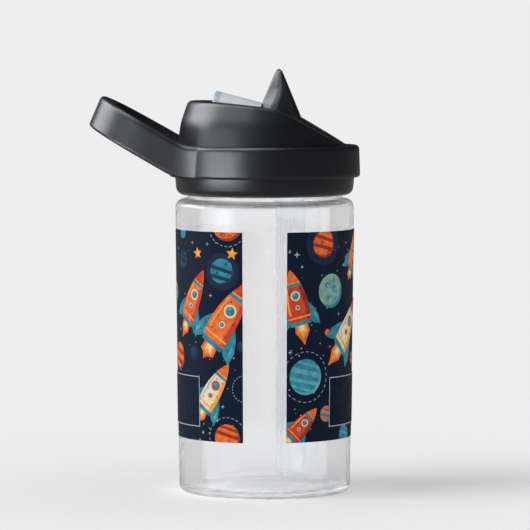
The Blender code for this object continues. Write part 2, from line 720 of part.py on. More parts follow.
def make_spout_seal(parts, cutters, look, parent):
    """A ring round the port whose top is hollowed to the barrel's curve."""
    low = DECK_TOP + GAP
    outline = rounded([
        (SEAL_RADIUS, SEAL_TOP, 0.0),
        (SEAL_RADIUS, low, 0.0),
        (PORT_RADIUS, low, 0.0),
        (PORT_RADIUS, SEAL_TOP, 0.0),
    ])
    seal = turned("spout_seal", outline, parts, steps=SMALL_STEPS)
    seal.location.x = PIVOT.x
    reach = Vector((0.0, SEAL_RADIUS + CUT_PAST, 0.0))
    saddle = rod(
        "seal_saddle", PIVOT - reach, PIVOT + reach, BARREL_RADIUS + GAP, cutters, steps=ROUND_STEPS
    )
    boolean(seal, as_cutter(saddle), "DIFFERENCE")
    return finish(seal, look, parent)


def make_vent_valve(parts, look, parent):
    """An umbrella valve: a disc under the deck, a stem through it and a barb on top."""
    disc_top = DECK_UNDERSIDE - GAP
    barb_bottom = DECK_TOP + GAP
    outline = [
        Vector((0.0, barb_bottom + VENT_BARB_HEIGHT)),
        Vector((VENT_STEM_RADIUS * 0.7, barb_bottom + VENT_BARB_HEIGHT)),
        Vector((VENT_BARB_RADIUS, barb_bottom + VENT_BARB_LIP)),
        Vector((VENT_BARB_RADIUS, barb_bottom)),
        Vector((VENT_STEM_RADIUS, barb_bottom)),
        Vector((VENT_STEM_RADIUS, disc_top)),
        Vector((VENT_DISC_RADIUS, disc_top)),
        Vector((VENT_DISC_RADIUS, disc_top - VENT_RIM_THICKNESS)),
        Vector((VENT_STEM_RADIUS, disc_top - VENT_DISC_THICKNESS)),
        Vector((0.0, disc_top - VENT_DISC_THICKNESS)),
    ]
    vent = turned("vent_valve", outline, parts, steps=SMALL_STEPS, closed=False)
    vent.location.x = VENT_X
    return finish(vent, look, parent)


def axis_empty(name, place, collection, parent=None):
    """An empty on a joint's axis, which carries the pieces that turn on it."""
    empty = new_object(name, None, collection)
    empty.empty_display_size = 10 * MM
    empty.location = place
    if parent is not None:
        bpy.context.view_layer.update()
        empty.parent = parent
        empty.matrix_parent_inverse = parent.matrix_world.inverted()
    return empty


def main():
    clear_scene()
    parts = new_collection("kids_water_bottle")
    cutters = new_collection("cutters")

    clear = material("clear_copolyester", (0.92, 0.94, 0.95, 1.0), 0.05, alpha=0.25)
    printed = material("printed_film", (0.02, 0.05, 0.12, 1.0), 0.3)
    black = material("black_polypropylene", BLACK, 0.42)
    silicone = material("clear_silicone", (0.80, 0.83, 0.88, 1.0), 0.4, alpha=0.6)
    seal_rubber = material("seal_silicone", (0.55, 0.57, 0.60, 1.0), 0.5)
    straw_plastic = material("straw_plastic", (0.86, 0.88, 0.90, 1.0), 0.35, alpha=0.5)

    cap_axis = axis_empty("cap_axis", (0.0, 0.0, NECK_TOP), parts)
    spout_axis = axis_empty("spout_axis", PIVOT, parts, cap_axis)

    make_bottle_shell(parts, cutters, clear)
    make_printed_wrap(parts, printed)
    make_cap_body(parts, cutters, black, cap_axis)
    make_cap_gasket(parts, seal_rubber, cap_axis)
    make_carry_handle(parts, cutters, black, cap_axis)
    make_dome_cover(parts, cutters, black, cap_axis)
    make_straw(parts, straw_plastic, cap_axis)
    make_spout_seal(parts, cutters, seal_rubber, cap_axis)
    make_vent_valve(parts, seal_rubber, cap_axis)
    make_spout(parts, cutters, black, spout_axis)
    make_bite_valve(parts, cutters, silicone, spout_axis)
    bpy.context.view_layer.update()


main()
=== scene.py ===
"""The looks of the kids water bottle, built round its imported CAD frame.

The clear bottle, the printed wrap with its artwork, the black cap pieces, the spout and the straw
are remade here at a finer level and ride on the CAD bodies. Lengths are in metres.
"""

import json
import math
import random

import bmesh
import bpy
from mathutils import Matrix, Vector

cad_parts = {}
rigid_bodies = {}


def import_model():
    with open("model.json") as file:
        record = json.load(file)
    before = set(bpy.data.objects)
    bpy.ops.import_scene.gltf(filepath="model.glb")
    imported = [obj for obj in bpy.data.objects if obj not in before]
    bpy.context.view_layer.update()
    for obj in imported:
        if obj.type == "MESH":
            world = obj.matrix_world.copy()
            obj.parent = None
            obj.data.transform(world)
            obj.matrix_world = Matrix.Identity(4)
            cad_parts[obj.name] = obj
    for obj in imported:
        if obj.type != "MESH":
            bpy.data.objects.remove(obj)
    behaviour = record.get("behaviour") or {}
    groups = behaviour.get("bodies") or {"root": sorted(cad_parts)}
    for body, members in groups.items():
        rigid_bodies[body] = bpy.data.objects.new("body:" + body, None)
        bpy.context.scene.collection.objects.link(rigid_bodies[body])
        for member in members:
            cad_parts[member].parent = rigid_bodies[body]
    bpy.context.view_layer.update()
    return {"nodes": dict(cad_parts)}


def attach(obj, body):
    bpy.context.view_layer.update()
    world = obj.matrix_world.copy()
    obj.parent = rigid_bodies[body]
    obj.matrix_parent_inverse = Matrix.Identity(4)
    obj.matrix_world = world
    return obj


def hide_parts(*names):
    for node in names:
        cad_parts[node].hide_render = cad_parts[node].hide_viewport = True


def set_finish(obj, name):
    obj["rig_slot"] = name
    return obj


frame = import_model()

MM = 0.001
GAP = 0.3 * MM  # air kept between neighbouring solids
LARGE_STEPS = 160  # facets round the large turned pieces
SMALL_STEPS = 72  # facets round the small turned pieces
CORNER_STEPS = 6  # facets round a turned corner
SEED = 7

# Bottle shell
BASE_RADIUS = 34.9 * MM
SHOULDER_RADIUS = 36.5 * MM
SHOULDER_TOP = 119.9 * MM
WALL = 1.8 * MM
FLOOR_THICKNESS = 3.0 * MM
BASE_CORNER = 3.2 * MM
SHOULDER_CORNER = 3.6 * MM
NECK_RADIUS = 31.5 * MM
NECK_BORE = 29.5 * MM
NECK_TOP = 136.7 * MM
REST_RING_INNER = 24.0 * MM
REST_PAD_RADIUS = 17.0 * MM
BASE_RECESS = 0.8 * MM

# Screw thread
THREAD_PITCH = 5.0 * MM
THREAD_TURNS = 1.25
THREAD_ROOT_HALF = 0.9 * MM
THREAD_CREST_HALF = 0.45 * MM
THREAD_RUN_OUT = 1.0 / 12.0  # part of a turn over which each end fades out
THREAD_ROWS = 40  # rows of facets over the threaded height
NECK_THREAD_CREST = 32.7 * MM
NECK_THREAD_START = 125.2 * MM
CAP_THREAD_CREST = 31.9 * MM
CAP_THREAD_START = NECK_THREAD_START - THREAD_PITCH / 2

# Printed wrap
WRAP_BOTTOM = 23.0 * MM
WRAP_TOP = 107.7 * MM
WRAP_STAND_OFF = 0.03 * MM
WRAP_THICKNESS = 0.1 * MM
WRAP_GAP_ANGLE = math.radians(28.4)
WRAP_GAP_CENTRE = math.radians(-87.6)  # direction of the clear gap, from +X towards +Y
WRAP_STEPS = 180
PRINT_RADIUS = 36.0 * MM  # turns a length along the print into an angle
PRINT_EDGE = PRINT_RADIUS * WRAP_GAP_ANGLE / 2
PRINT_BACK = PRINT_RADIUS * math.pi
INK_STAND_OFF = 0.01 * MM
INK_LAYER = 0.02 * MM
INK_THICKNESS = 0.015 * MM
INK_SLICE = 1.5 * MM  # width of the flats that bend an ink shape round the bottle

# Cap body
COLLAR_RADIUS = 36.6 * MM
COLLAR_FOOT_RADIUS = 35.9 * MM
COLLAR_BOTTOM = 121.5 * MM
COLLAR_CORNER = 3.2 * MM
CAP_BORE = 33.3 * MM
DECK_UNDERSIDE = 138.7 * MM
DECK_TOP = 140.2 * MM
PLUG_RADIUS = 28.9 * MM
PLUG_WALL = 1.8 * MM
PLUG_DEPTH = 4.5 * MM

# Band and carry loop
BAND_RADIUS = COLLAR_RADIUS + 2.2 * MM
BAND_BOTTOM = 128.7 * MM
BAND_FLARE = 0.2 * MM
BAND_TOP = 141.8 * MM
BAND_LIP = DECK_TOP + GAP
BAND_LIP_BORE = 36.0 * MM
LOOP_TILT = math.radians(29.6)
LOOP_BEND_START = 27.9 * MM
LOOP_BEND_RADIUS = 18.0 * MM
LOOP_LENGTH = 74.5 * MM
LOOP_END_RADIUS = 24.0 * MM
LOOP_TAPER = math.radians(12.0)
LOOP_LEAN = 0.78  # how much of the strap's tilt its walls follow
LOOP_ROOT = Vector((24.5, 29.4)) * MM
LOOP_ROOT_ANGLE = math.radians(36.0)
LOOP_ROOT_PULL = 7.0 * MM
LOOP_END_PULL = 12.0 * MM
LOOP_THICKNESS = 3.4 * MM
LOOP_HALF_HEIGHT = 6.75 * MM
LOOP_TOP_FILLET = 1.8 * MM  # on the strap's outer top edge
LOOP_EDGE_FILLET = 0.7 * MM  # on its other edges
LOOP_STEPS = 40

# Dome cover
DOME_FOOT_RADIUS = BAND_LIP_BORE - GAP
DOME_BOTTOM = DECK_TOP + GAP
DOME_WAIST_RADIUS = 34.3 * MM
DOME_WAIST = 150.8 * MM
DOME_WAIST_BLEND = 25.0 * MM
DOME_CROWN_RADIUS = 31.2 * MM
DOME_CROWN = 159.9 * MM
DOME_CROWN_FILLET = 2.6 * MM
DOME_WALL = 2.0 * MM
CHEEK_BACK = Vector((-60.0, 161.4)) * MM
CHEEK_CREST = Vector((-18.0, 159.3)) * MM
CHEEK_FRONT = Vector((6.0, 156.6)) * MM
RAMP_TOP = Vector((14.9, 151.85)) * MM
RAMP_FOOT = Vector((50.0, 132.0)) * MM
CREST_BLEND = 60.0 * MM
FRONT_BLEND = 30.0 * MM
RAMP_BLEND = 3.0 * MM
SIDE_REACH = 60.0 * MM
SIDE_FLOOR = 110.0 * MM
SLOT_HALF_WIDTH = 9.0 * MM
SLOT_END = -25.2 * MM
SLOT_CORNER = 5.0 * MM
SLOT_WALL = 1.6 * MM

# Spout
PIVOT = Vector((10.7, 0.0, 147.7)) * MM
SPOUT_TILT = math.radians(15.0)
BARREL_RADIUS = 5.5 * MM
BARREL_HALF_LENGTH = 7.8 * MM
TRUNNION_RADIUS = 2.4 * MM
TRUNNION_REACH = 10.2 * MM
SHOULDER_START = 3.5 * MM
SHOULDER_FULL = 9.0 * MM
SHOULDER_END = 13.7 * MM
SHOULDER_START_RADIUS = 5.0 * MM
NOZZLE_SHOULDER_RADIUS = 7.4 * MM
NOZZLE_RADIUS = 4.6 * MM
NOZZLE_END = 27.0 * MM
CHANNEL_RADIUS = 2.6 * MM
FIN_FOOT = 151.5 * MM
FIN_TOP = 172.7 * MM
FIN_BURIED = 148.5 * MM
FIN_FRONT = -1.2 * MM
FIN_UPRIGHT = 0.326  # height, 0 to 1, up to which the front stands upright
FIN_FRONT_LEAN = 8.9 * MM
FIN_BACK = 15.3 * MM
FIN_BACK_LEAN = 8.5 * MM
FIN_HALF_WIDTH = 8.0 * MM
FIN_NARROWING = 6.2 * MM
FIN_NARROWING_POWER = 1.4
FIN_WEDGE_FOOT = 0.15  # share of the fin's length that its wedge takes
FIN_WEDGE_TOP = 0.6
FIN_WEDGE_GROWTH = 1.6  # the wedge is full grown at 1 / 1.6 of the fin's height
FIN_NOSE = 0.3  # half width of the wedge's blunt edge, in half widths
FIN_BACK_WIDTH = 0.92  # half width of the back, in half widths
FIN_ROWS = 40
FIN_TIP_START = 0.93  # height, 0 to 1, above which the fin closes to its tip

# Bite valve
VALVE_RADIUS = 7.7 * MM
VALVE_START = SHOULDER_END + GAP
VALVE_END = 33.8 * MM
VALVE_SOCKET_RADIUS = NOZZLE_RADIUS + GAP
VALVE_TIP = 2.6 * MM
SLIT_LENGTH = 7.0 * MM
SLIT_WIDTH = 0.6 * MM

# Straw and vent
STRAW_RADIUS = 6.1 * MM
STRAW_WALL = 1.0 * MM
STRAW_BOTTOM = 7.7 * MM
SPIGOT_RADIUS = STRAW_RADIUS - STRAW_WALL - GAP
SPIGOT_BOTTOM = 126.0 * MM
PORT_RADIUS = 3.3 * MM
VENT_X = -14.0 * MM
VENT_STEM_HOLE = 1.9 * MM

# Softening of the moulded pieces
BODY_VOXEL = 0.42 * MM
SPOUT_VOXEL = 0.3 * MM
SOFTENING_PASSES = 6

# Camera and light
CAMERA_DISTANCE = 1.576
CAMERA_HEIGHT = 0.1906
CAMERA_AZIMUTH = WRAP_GAP_CENTRE
CAMERA_PITCH = math.radians(3.56)
CAMERA_SIDE_AIM = 0.12 * MM
LENS = 262.2
SENSOR = 36.0
BACKDROP = 0.855  # brightness of the room as the eye sees it
GLOSS_SURROUND = 0.05  # what shiny faces mirror away from the softboxes
AMBIENT = 0.74  # and as it falls on dull faces
CLEAR_STRAIGHT = 0.26  # share of the light that passes the shell without bending
SOFTBOX_COLOR = (0.93, 0.955, 1.0)
FLOOR_MIRRORED = 0.30  # how bright the floor looks in the black plastic
FLOOR_REACH = 6.0
FLOOR_FADES_FROM = 0.12  # distance at which the floor starts to melt into the backdrop
FLOOR_FADES_TO = 0.45
COOLNESS = 1.003  # blue over red in the backdrop


def tint(red, green, blue):
    """A display colour, 0 to 255, as linear light."""
    values = []
    for value in (red, green, blue):
        share = value / 255.0
        values.append(share / 12.92 if share <= 0.04045 else ((share + 0.055) / 1.055) ** 2.4)
    return (*values, 1.0)


NAVY = tint(3, 27, 52)
INKS = {
    "teal": (tint(54, 148, 166), tint(32, 106, 128)),
    "aqua": (tint(96, 176, 186), tint(60, 140, 158)),
    "dusk": (tint(34, 66, 92), tint(24, 46, 72)),
    "haze": (tint(26, 44, 70), tint(22, 36, 60)),
    "orange": (tint(240, 122, 54), tint(204, 84, 40)),
    "ember": (tint(168, 58, 34), tint(128, 44, 34)),
    "scarlet": (tint(220, 74, 44), tint(184, 52, 36)),
    "cream": (tint(238, 222, 184), tint(214, 196, 158)),
    "amber": (tint(244, 172, 66), tint(226, 140, 46)),
    "sage": (tint(140, 176, 160), tint(92, 134, 126)),
    "pale": (tint(176, 192, 204), tint(146, 164, 180)),
    "navy": (NAVY, tint(3, 18, 38)),
}


# Materials


def fill(tree, node, inputs):
    """Sets a node's inputs, and links those that are given as another node's output."""
    for name, value in inputs.items():
        if isinstance(value, bpy.types.NodeSocket):
            tree.links.new(value, node.inputs[name])
        else:
            node.inputs[name].default_value = value
    return node


def add_node(tree, kind, inputs, **settings):
    node = tree.nodes.new("ShaderNode" + kind)
    for name, value in settings.items():
        setattr(node, name, value)
    return fill(tree, node, inputs)


def node_material(name):
    material = bpy.data.materials.new(name)
    material.use_nodes = True
    return material, material.node_tree, material.node_tree.nodes["Principled BSDF"]


def place_on(tree):
    """The object's own coordinates."""
    return add_node(tree, "TexCoord", {}).outputs["Object"]


def add_noise(tree, scale, detail=3.0):
    """Noise over the object's own coordinates, with scale in cells per metre."""
    inputs = {"Vector": place_on(tree), "Scale": scale, "Detail": detail}
    return add_node(tree, "TexNoise", inputs).outputs["Fac"]


def remap(tree, source, low, high, start=0.3, stop=0.7):
    """A number that goes from low to high as the source goes from start to stop."""
    inputs = {"Value": source, "From Min": start, "From Max": stop, "To Min": low, "To Max": high}
    return add_node(tree, "MapRange", inputs).outputs["Result"]


def mix_colors(tree, factor, first, second):
    inputs = {"Factor": factor, "A": first, "B": second}
    return add_node(tree, "Mix", inputs, data_type="RGBA").outputs["Result"]


def mix_shaders(tree, factor, first, second):
    return add_node(tree, "MixShader", {"Fac": factor, 1: first, 2: second}).outputs["Shader"]


def mottled(name, first, second, roughness, scale, spread=0.05, specular=0.5):
    """A dull finish that wanders between two colours and a little in roughness."""
    material, tree, shader = node_material(name)
    cloud = add_noise(tree, scale)
    fill(tree, shader, {
        "Base Color": mix_colors(tree, remap(tree, cloud, 0.0, 1.0), first, second),
        "Roughness": remap(tree, cloud, roughness - spread, roughness + spread),
        "Specular IOR Level": specular,
    })
    return material


def black_plastic():
    """Moulded black polypropylene with a fine satin grain."""
    first, second = (0.0040, 0.0048, 0.0072, 1.0), (0.0055, 0.0065, 0.0094, 1.0)
    material = mottled("black_plastic", first, second, 0.37, 90.0, spread=0.03)
    tree = material.node_tree
    grain = {"Height": add_noise(tree, 2600.0, 2.0), "Strength": 0.12, "Distance": 0.05 * MM}
    bump = add_node(tree, "Bump", grain)
    fill(tree, tree.nodes["Principled BSDF"], {"Normal": bump.outputs["Normal"]})
    return material


def see_through(name, color, scale, smoothest, roughest, refraction, share=1.0):
    """A finish that passes a share of the light and wanders in roughness."""
    material, tree, shader = node_material(name)
    fill(tree, shader, {
        "Base Color": color,
        "Roughness": remap(tree, add_noise(tree, scale), smoothest, roughest),
        "Transmission Weight": share,
        "IOR": refraction,
    })
    return material, tree, shader


def clear_plastic():
    """Clear copolyester, which lets part of the light straight through."""
    color = (0.972, 0.975, 0.979, 1.0)
    material, tree, shader = see_through("clear_copolyester", color, 60.0, 0.015, 0.045, 1.36)
    straight = add_node(tree, "BsdfTransparent", {"Color": (0.985, 0.987, 0.990, 1.0)}).outputs["BSDF"]
    both = mix_shaders(tree, CLEAR_STRAIGHT, shader.outputs["BSDF"], straight)
    fill(tree, tree.nodes["Material Output"], {"Surface": both})
    return material


def wrap_backing():
    """The white layer behind the ink, with a painted glow: an emission that stands in for the light coming
    through it.
    """
    material = mottled("print_backing", (0.88, 0.875, 0.87, 1.0), (0.84, 0.835, 0.83, 1.0), 0.6, 120.0)
    tree = material.node_tree
    # painted glow: emission standing in for light that shines through the white sheet
    glow = {"Emission Color": (1.0, 0.975, 0.945, 1.0), "Emission Strength": 0.40}
    fill(tree, tree.nodes["Principled BSDF"], glow)
    return material


def valve_silicone():
    """Milky silicone whose thick tip reads bluer than its sleeve."""
    sleeve, thick = (0.78, 0.80, 0.83, 1.0), (0.50, 0.57, 0.68, 1.0)
    material, tree, shader = see_through("valve_silicone", sleeve, 300.0, 0.30, 0.38, 1.41, 0.25)
    way = spout_way()
    along = add_node(tree, "VectorMath", {0: place_on(tree), 1: way}, operation="DOT_PRODUCT")
    tip = PIVOT.dot(way) + VALVE_END - VALVE_TIP
    share = remap(tree, along.outputs["Value"], 0.0, 1.0, tip - 0.6 * MM, tip + 0.2 * MM)
    fill(tree, shader, {"Base Color": mix_colors(tree, share, sleeve, thick)})
    return material


# Solids


def rounded(corners, steps=CORNER_STEPS):
    """An outline of (x, z, corner radius) points, with each corner turned by an arc."""
    points = []
    count = len(corners)
    for index, (x, z, radius) in enumerate(corners):
        here = Vector((x, z))
        if radius <= 0.0:
            points.append(here)
            continue
        before = (Vector(corners[index - 1][:2]) - here).normalized()
        after = (Vector(corners[(index + 1) % count][:2]) - here).normalized()
        half = before.angle(after) / 2.0
        centre = here + (before + after).normalized() * radius / math.sin(half)
        spoke = here + before * radius / math.tan(half) - centre
        last = here + after * radius / math.tan(half) - centre
        sweep = math.atan2(spoke.x * last.y - spoke.y * last.x, spoke.dot(last))
        for step in range(steps + 1):
            points.append(centre + Matrix.Rotation(sweep * step / steps, 2) @ spoke)
    return points


def ray(angle):
    """The unit vector in the plane that points along an angle."""
    return Vector((math.cos(angle), math.sin(angle)))


def round_point(radius, angle, height):
    """A place given by its radius and angle about Z."""
    return Vector((radius * math.cos(angle), radius * math.sin(angle), height))


def new_item(name, data):
    """An object in the scene, round a mesh, a light or a camera."""
    item = bpy.data.objects.new(name, data)
    bpy.context.scene.collection.objects.link(item)
    return item


def mesh_of(name, bm):
    """The mesh of a finished bmesh."""
    mesh = bpy.data.meshes.new(name)
    bm.to_mesh(mesh)
    bm.free()
    return mesh


def new_piece(name, bm):
    """Turns a finished bmesh into an object with outward, smooth faces."""
    bmesh.ops.recalc_face_normals(bm, faces=bm.faces)
    return smooth(new_item(name, mesh_of(name, bm)))


def smooth(piece, angle=math.radians(32.0)):
    piece.data.shade_smooth()
    piece.data.set_sharp_from_angle(angle=angle)
    return piece


def skin(bm, rows, closed):
    """Quads over rows of vertices that each run once round."""
    pairs = list(zip(rows, rows[1:]))
    if closed:
        pairs.append((rows[-1], rows[0]))
    count = max(len(row) for row in rows)
    for lower, upper in pairs:
        for index in range(count):
            after = (index + 1) % count
            if len(lower) == 1 and len(upper) > 1:
                bm.faces.new((lower[0], upper[after], upper[index]))
            elif len(upper) == 1 and len(lower) > 1:
                bm.faces.new((lower[index], lower[after], upper[0]))
            elif len(lower) > 1:
                bm.faces.new((lower[index], lower[after], upper[after], upper[index]))


def turned(name, outline, steps=LARGE_STEPS, closed=True, push=None):
    """A solid turned about Z; push(angle, point) may add to the radius of a point."""
    bm = bmesh.new()
    rows = []
    for point in outline:
        if point[0] < GAP / 10:
            rows.append([bm.verts.new((0.0, 0.0, point[1]))])
            continue
        row = []
        for step in range(steps):
            angle = math.tau * step / steps
            radius = point[0] + (push(angle, point) if push else 0.0)
            row.append(bm.verts.new(round_point(radius, angle, point[1])))
        rows.append(row)
    skin(bm, rows, closed)
    return new_piece(name, bm)


def loft(name, rings):
    """A solid skinned over rings of the same number of points, closed at both ends."""
    bm = bmesh.new()
    rows = [[bm.verts.new(point) for point in ring] for ring in rings]
    skin(bm, rows, False)
    bm.faces.new(rows[0])
    bm.faces.new(rows[-1])
    return new_piece(name, bm)


def rod(name, start, end, radius, steps=SMALL_STEPS):
    along = end - start
    placed = Matrix.Translation((start + end) / 2) @ along.to_track_quat("Z", "Y").to_matrix().to_4x4()
    bm = bmesh.new()
    bmesh.ops.create_cone(
        bm, cap_ends=True, segments=steps, radius1=radius, radius2=radius, depth=along.length, matrix=placed
    )
    return new_piece(name, bm)


def cross_rod(name, reach, radius):
    """A rod on the spout's pivot axis, reaching as far to both sides."""
    side = Vector((0.0, reach, 0.0))
    return rod(name, PIVOT - side, PIVOT + side, radius)


def prism(name, outline, axis, low, high):
    """A flat outline carried from low to high along Y (an XZ outline) or Z (an XY outline)."""
    def point(x, other, level):
        return Vector((x, level, other) if axis == "Y" else (x, other, level))

    return loft(name, [[point(*place, level) for place in outline] for level in (low, high)])


def laid_along(piece, start, way):
    """Moves the vertices of a piece made upright so that its +Z runs along a direction."""
    piece.data.transform(Matrix.Translation(start) @ way.to_track_quat("Z", "Y").to_matrix().to_4x4())
    return piece


def baked(piece):
    """Turns a piece's modifiers into its mesh."""
    graph = bpy.context.evaluated_depsgraph_get()
    mesh = bpy.data.meshes.new_from_object(piece.evaluated_get(graph))
    old = piece.data
    piece.modifiers.clear()
    piece.data = mesh
    bpy.data.meshes.remove(old)
    return piece


def carved(piece, operation, *tools):
    """Adds or cuts away the tools, which are then deleted."""
    for tool in tools:
        modifier = piece.modifiers.new(tool.name, "BOOLEAN")
        modifier.operation = operation
        modifier.object = tool
        modifier.solver = "EXACT"
        baked(piece)
        bpy.data.objects.remove(tool, do_unlink=True)
    return piece


def softened(piece, voxel, passes=SOFTENING_PASSES):
    """Melts a piece's edges and inner corners into small moulded fillets."""
    remesh = piece.modifiers.new("skin", "REMESH")
    remesh.mode = "VOXEL"
    remesh.voxel_size = voxel
    relax = piece.modifiers.new("relax", "SMOOTH")
    relax.factor = 0.5
    relax.iterations = passes
    baked(piece)
    piece.data.shade_smooth()
    return piece


def dress(piece, look, body, slot, *replaced):
    """Gives a piece its material, the body it rides on and the CAD nodes it stands for."""
    if look is not None:
        piece.data.materials.clear()
        piece.data.materials.append(look)
    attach(piece, body)
    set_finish(piece, slot)
    if replaced:
        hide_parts(*replaced)
    return piece


# Clear bottle


def wall_radius_at(height):
    """The bottle's drafted outer radius."""
    return BASE_RADIUS + (SHOULDER_RADIUS - BASE_RADIUS) * height / SHOULDER_TOP


def thread_height(angle, height, start, depth):
    """How far a thread rib stands out of its wall at an angle and height."""
    share = (angle / math.tau) % 1.0
    best = 0.0
    for lap in range(math.ceil(THREAD_TURNS) + 1):
        turn = share + lap
        if turn > THREAD_TURNS:
            continue
        away = abs(height - start - THREAD_PITCH * turn)
        flank = (THREAD_ROOT_HALF - away) / (THREAD_ROOT_HALF - THREAD_CREST_HALF)
        fade = min(turn, THREAD_TURNS - turn) / THREAD_RUN_OUT
        best = max(best, min(max(flank, 0.0), 1.0) * min(max(fade, 0.0), 1.0))
    return depth * best


def rows_between(radius, start, stop):
    """Outline points along a straight wall, close enough together to carry a thread."""
    step = (stop - start) / THREAD_ROWS
    return [Vector((radius, start + step * row)) for row in range(1, THREAD_ROWS)]


def thread_ends(start):
    """The lowest and highest point of a thread, with a little air."""
    return start - THREAD_ROOT_HALF - GAP, start + THREAD_PITCH * THREAD_TURNS + THREAD_ROOT_HALF + GAP


def thread_push(wall, crest, start):
    """What a thread adds to the radius of the points of its wall."""
    def push(angle, point):
        on_wall = abs(point[0] - wall) < GAP / 10
        return thread_height(angle, point[1], start, crest - wall) if on_wall else 0.0

    return push


def make_clear_bottle():
    inner_top = SHOULDER_TOP - WALL
    inside = rounded([
        (0.0, FLOOR_THICKNESS, 0.0),
        (wall_radius_at(0.0) - WALL, FLOOR_THICKNESS, BASE_CORNER - WALL),
        (wall_radius_at(inner_top) - WALL, inner_top, SHOULDER_CORNER - WALL),
        (NECK_BORE, inner_top, 1.0 * MM),
        (NECK_BORE, NECK_TOP, 0.5 * MM),
        (NECK_RADIUS, NECK_TOP, 0.5 * MM),
        (NECK_RADIUS, SHOULDER_TOP, 0.0),
    ])[:-1]
    lowest, highest = thread_ends(NECK_THREAD_START)
    thread = rows_between(NECK_RADIUS, highest, lowest)
    outside = rounded([
        (NECK_RADIUS, NECK_TOP, 0.0),
        (NECK_RADIUS, SHOULDER_TOP, 0.8 * MM),
        (SHOULDER_RADIUS, SHOULDER_TOP, SHOULDER_CORNER),
        (BASE_RADIUS, 0.0, BASE_CORNER),
        (REST_RING_INNER, 0.0, 0.5 * MM),
        (REST_RING_INNER - BASE_RECESS, BASE_RECESS, 0.5 * MM),
        (REST_PAD_RADIUS + BASE_RECESS, BASE_RECESS, 0.5 * MM),
        (REST_PAD_RADIUS, 0.0, 0.5 * MM),
        (0.0, 0.0, 0.0),
    ])[1:]
    push = thread_push(NECK_RADIUS, NECK_THREAD_CREST, NECK_THREAD_START)
    return turned("clear_bottle", inside + thread + outside, closed=False, push=push)


# Printed wrap


def make_wrap(ink, backing):
    """The printed sheet: ink on its outer face, white on its inner face and edges."""
    bm = bmesh.new()
    rows = []
    sweep = math.tau - WRAP_GAP_ANGLE
    corners = ((WRAP_BOTTOM, 0.0), (WRAP_BOTTOM, WRAP_THICKNESS), (WRAP_TOP, WRAP_THICKNESS), (WRAP_TOP, 0.0))
    for step in range(WRAP_STEPS + 1):
        angle = WRAP_GAP_CENTRE + WRAP_GAP_ANGLE / 2 + sweep * step / WRAP_STEPS
        row = []
        for height, layer in corners:
            radius = wall_radius_at(height) + WRAP_STAND_OFF + layer
            row.append(bm.verts.new(round_point(radius, angle, height)))
        rows.append(row)
    skin(bm, rows, False)
    bm.faces.new(rows[0])
    bm.faces.new(rows[-1])
    wrap = new_piece("wrap_sheet", bm)
    wrap.data.materials.append(ink)
    wrap.data.materials.append(backing)
    for face in wrap.data.polygons:
        outward = face.normal.x * face.center.x + face.normal.y * face.center.y
        face.material_index = 0 if outward > abs(face.normal.z) * WALL else 1
    return wrap


ROCKET_SHADES = {"orange": "scarlet", "scarlet": "ember", "cream": "amber"}
STAR_COUNT = 260  # dots and sparkles under everything else
PANEL_REACH = 60.0  # the two drawn panels end here, in mm from the gap
BACK_ROWS = (32.0, 52.0, 72.0, 92.0)  # heights of the rows of shapes on the far side, in mm
BACK_COLUMNS = 5
BACK_START = 68.0  # first column, in mm from the gap
BACK_STEP = 20.0
BACK_SHIFT = 9.0  # every other row is moved over by this
ROCKET_INKS = (("orange", "scarlet"), ("cream", "orange"), ("scarlet", "orange"))
RIVETS = ((0.64, 0.6), (0.64, -0.35), (0.40, 0.7), (0.40, -0.6), (0.21, 0.65), (0.21, -0.55))
SEA = ("teal", "aqua")  # pairs of inks for planets
FIRE = ("orange", "ember")
MOON = ("sage", "teal")
NIGHT = ("dusk", "haze")

# fin outlines: place along the rocket, where the hull's half width is taken, its share, how far past it
ROCKET_FINS = (
    ("teal", 4, (
        (0.40, 0.40, 0.9, 0.0), (0.26, 0.26, 1.0, 0.085), (0.10, 0.10, 1.0, 0.165),
        (-0.07, 0.0, 1.0, 0.185), (-0.02, 0.0, 1.0, 0.07), (0.05, 0.05, 0.9, 0.0))),
    ("aqua", 5, (
        (0.24, 0.26, 1.0, 0.060), (0.08, 0.10, 1.0, 0.125),
        (-0.03, 0.0, 1.0, 0.150), (0.06, 0.10, 1.0, 0.095))),
)


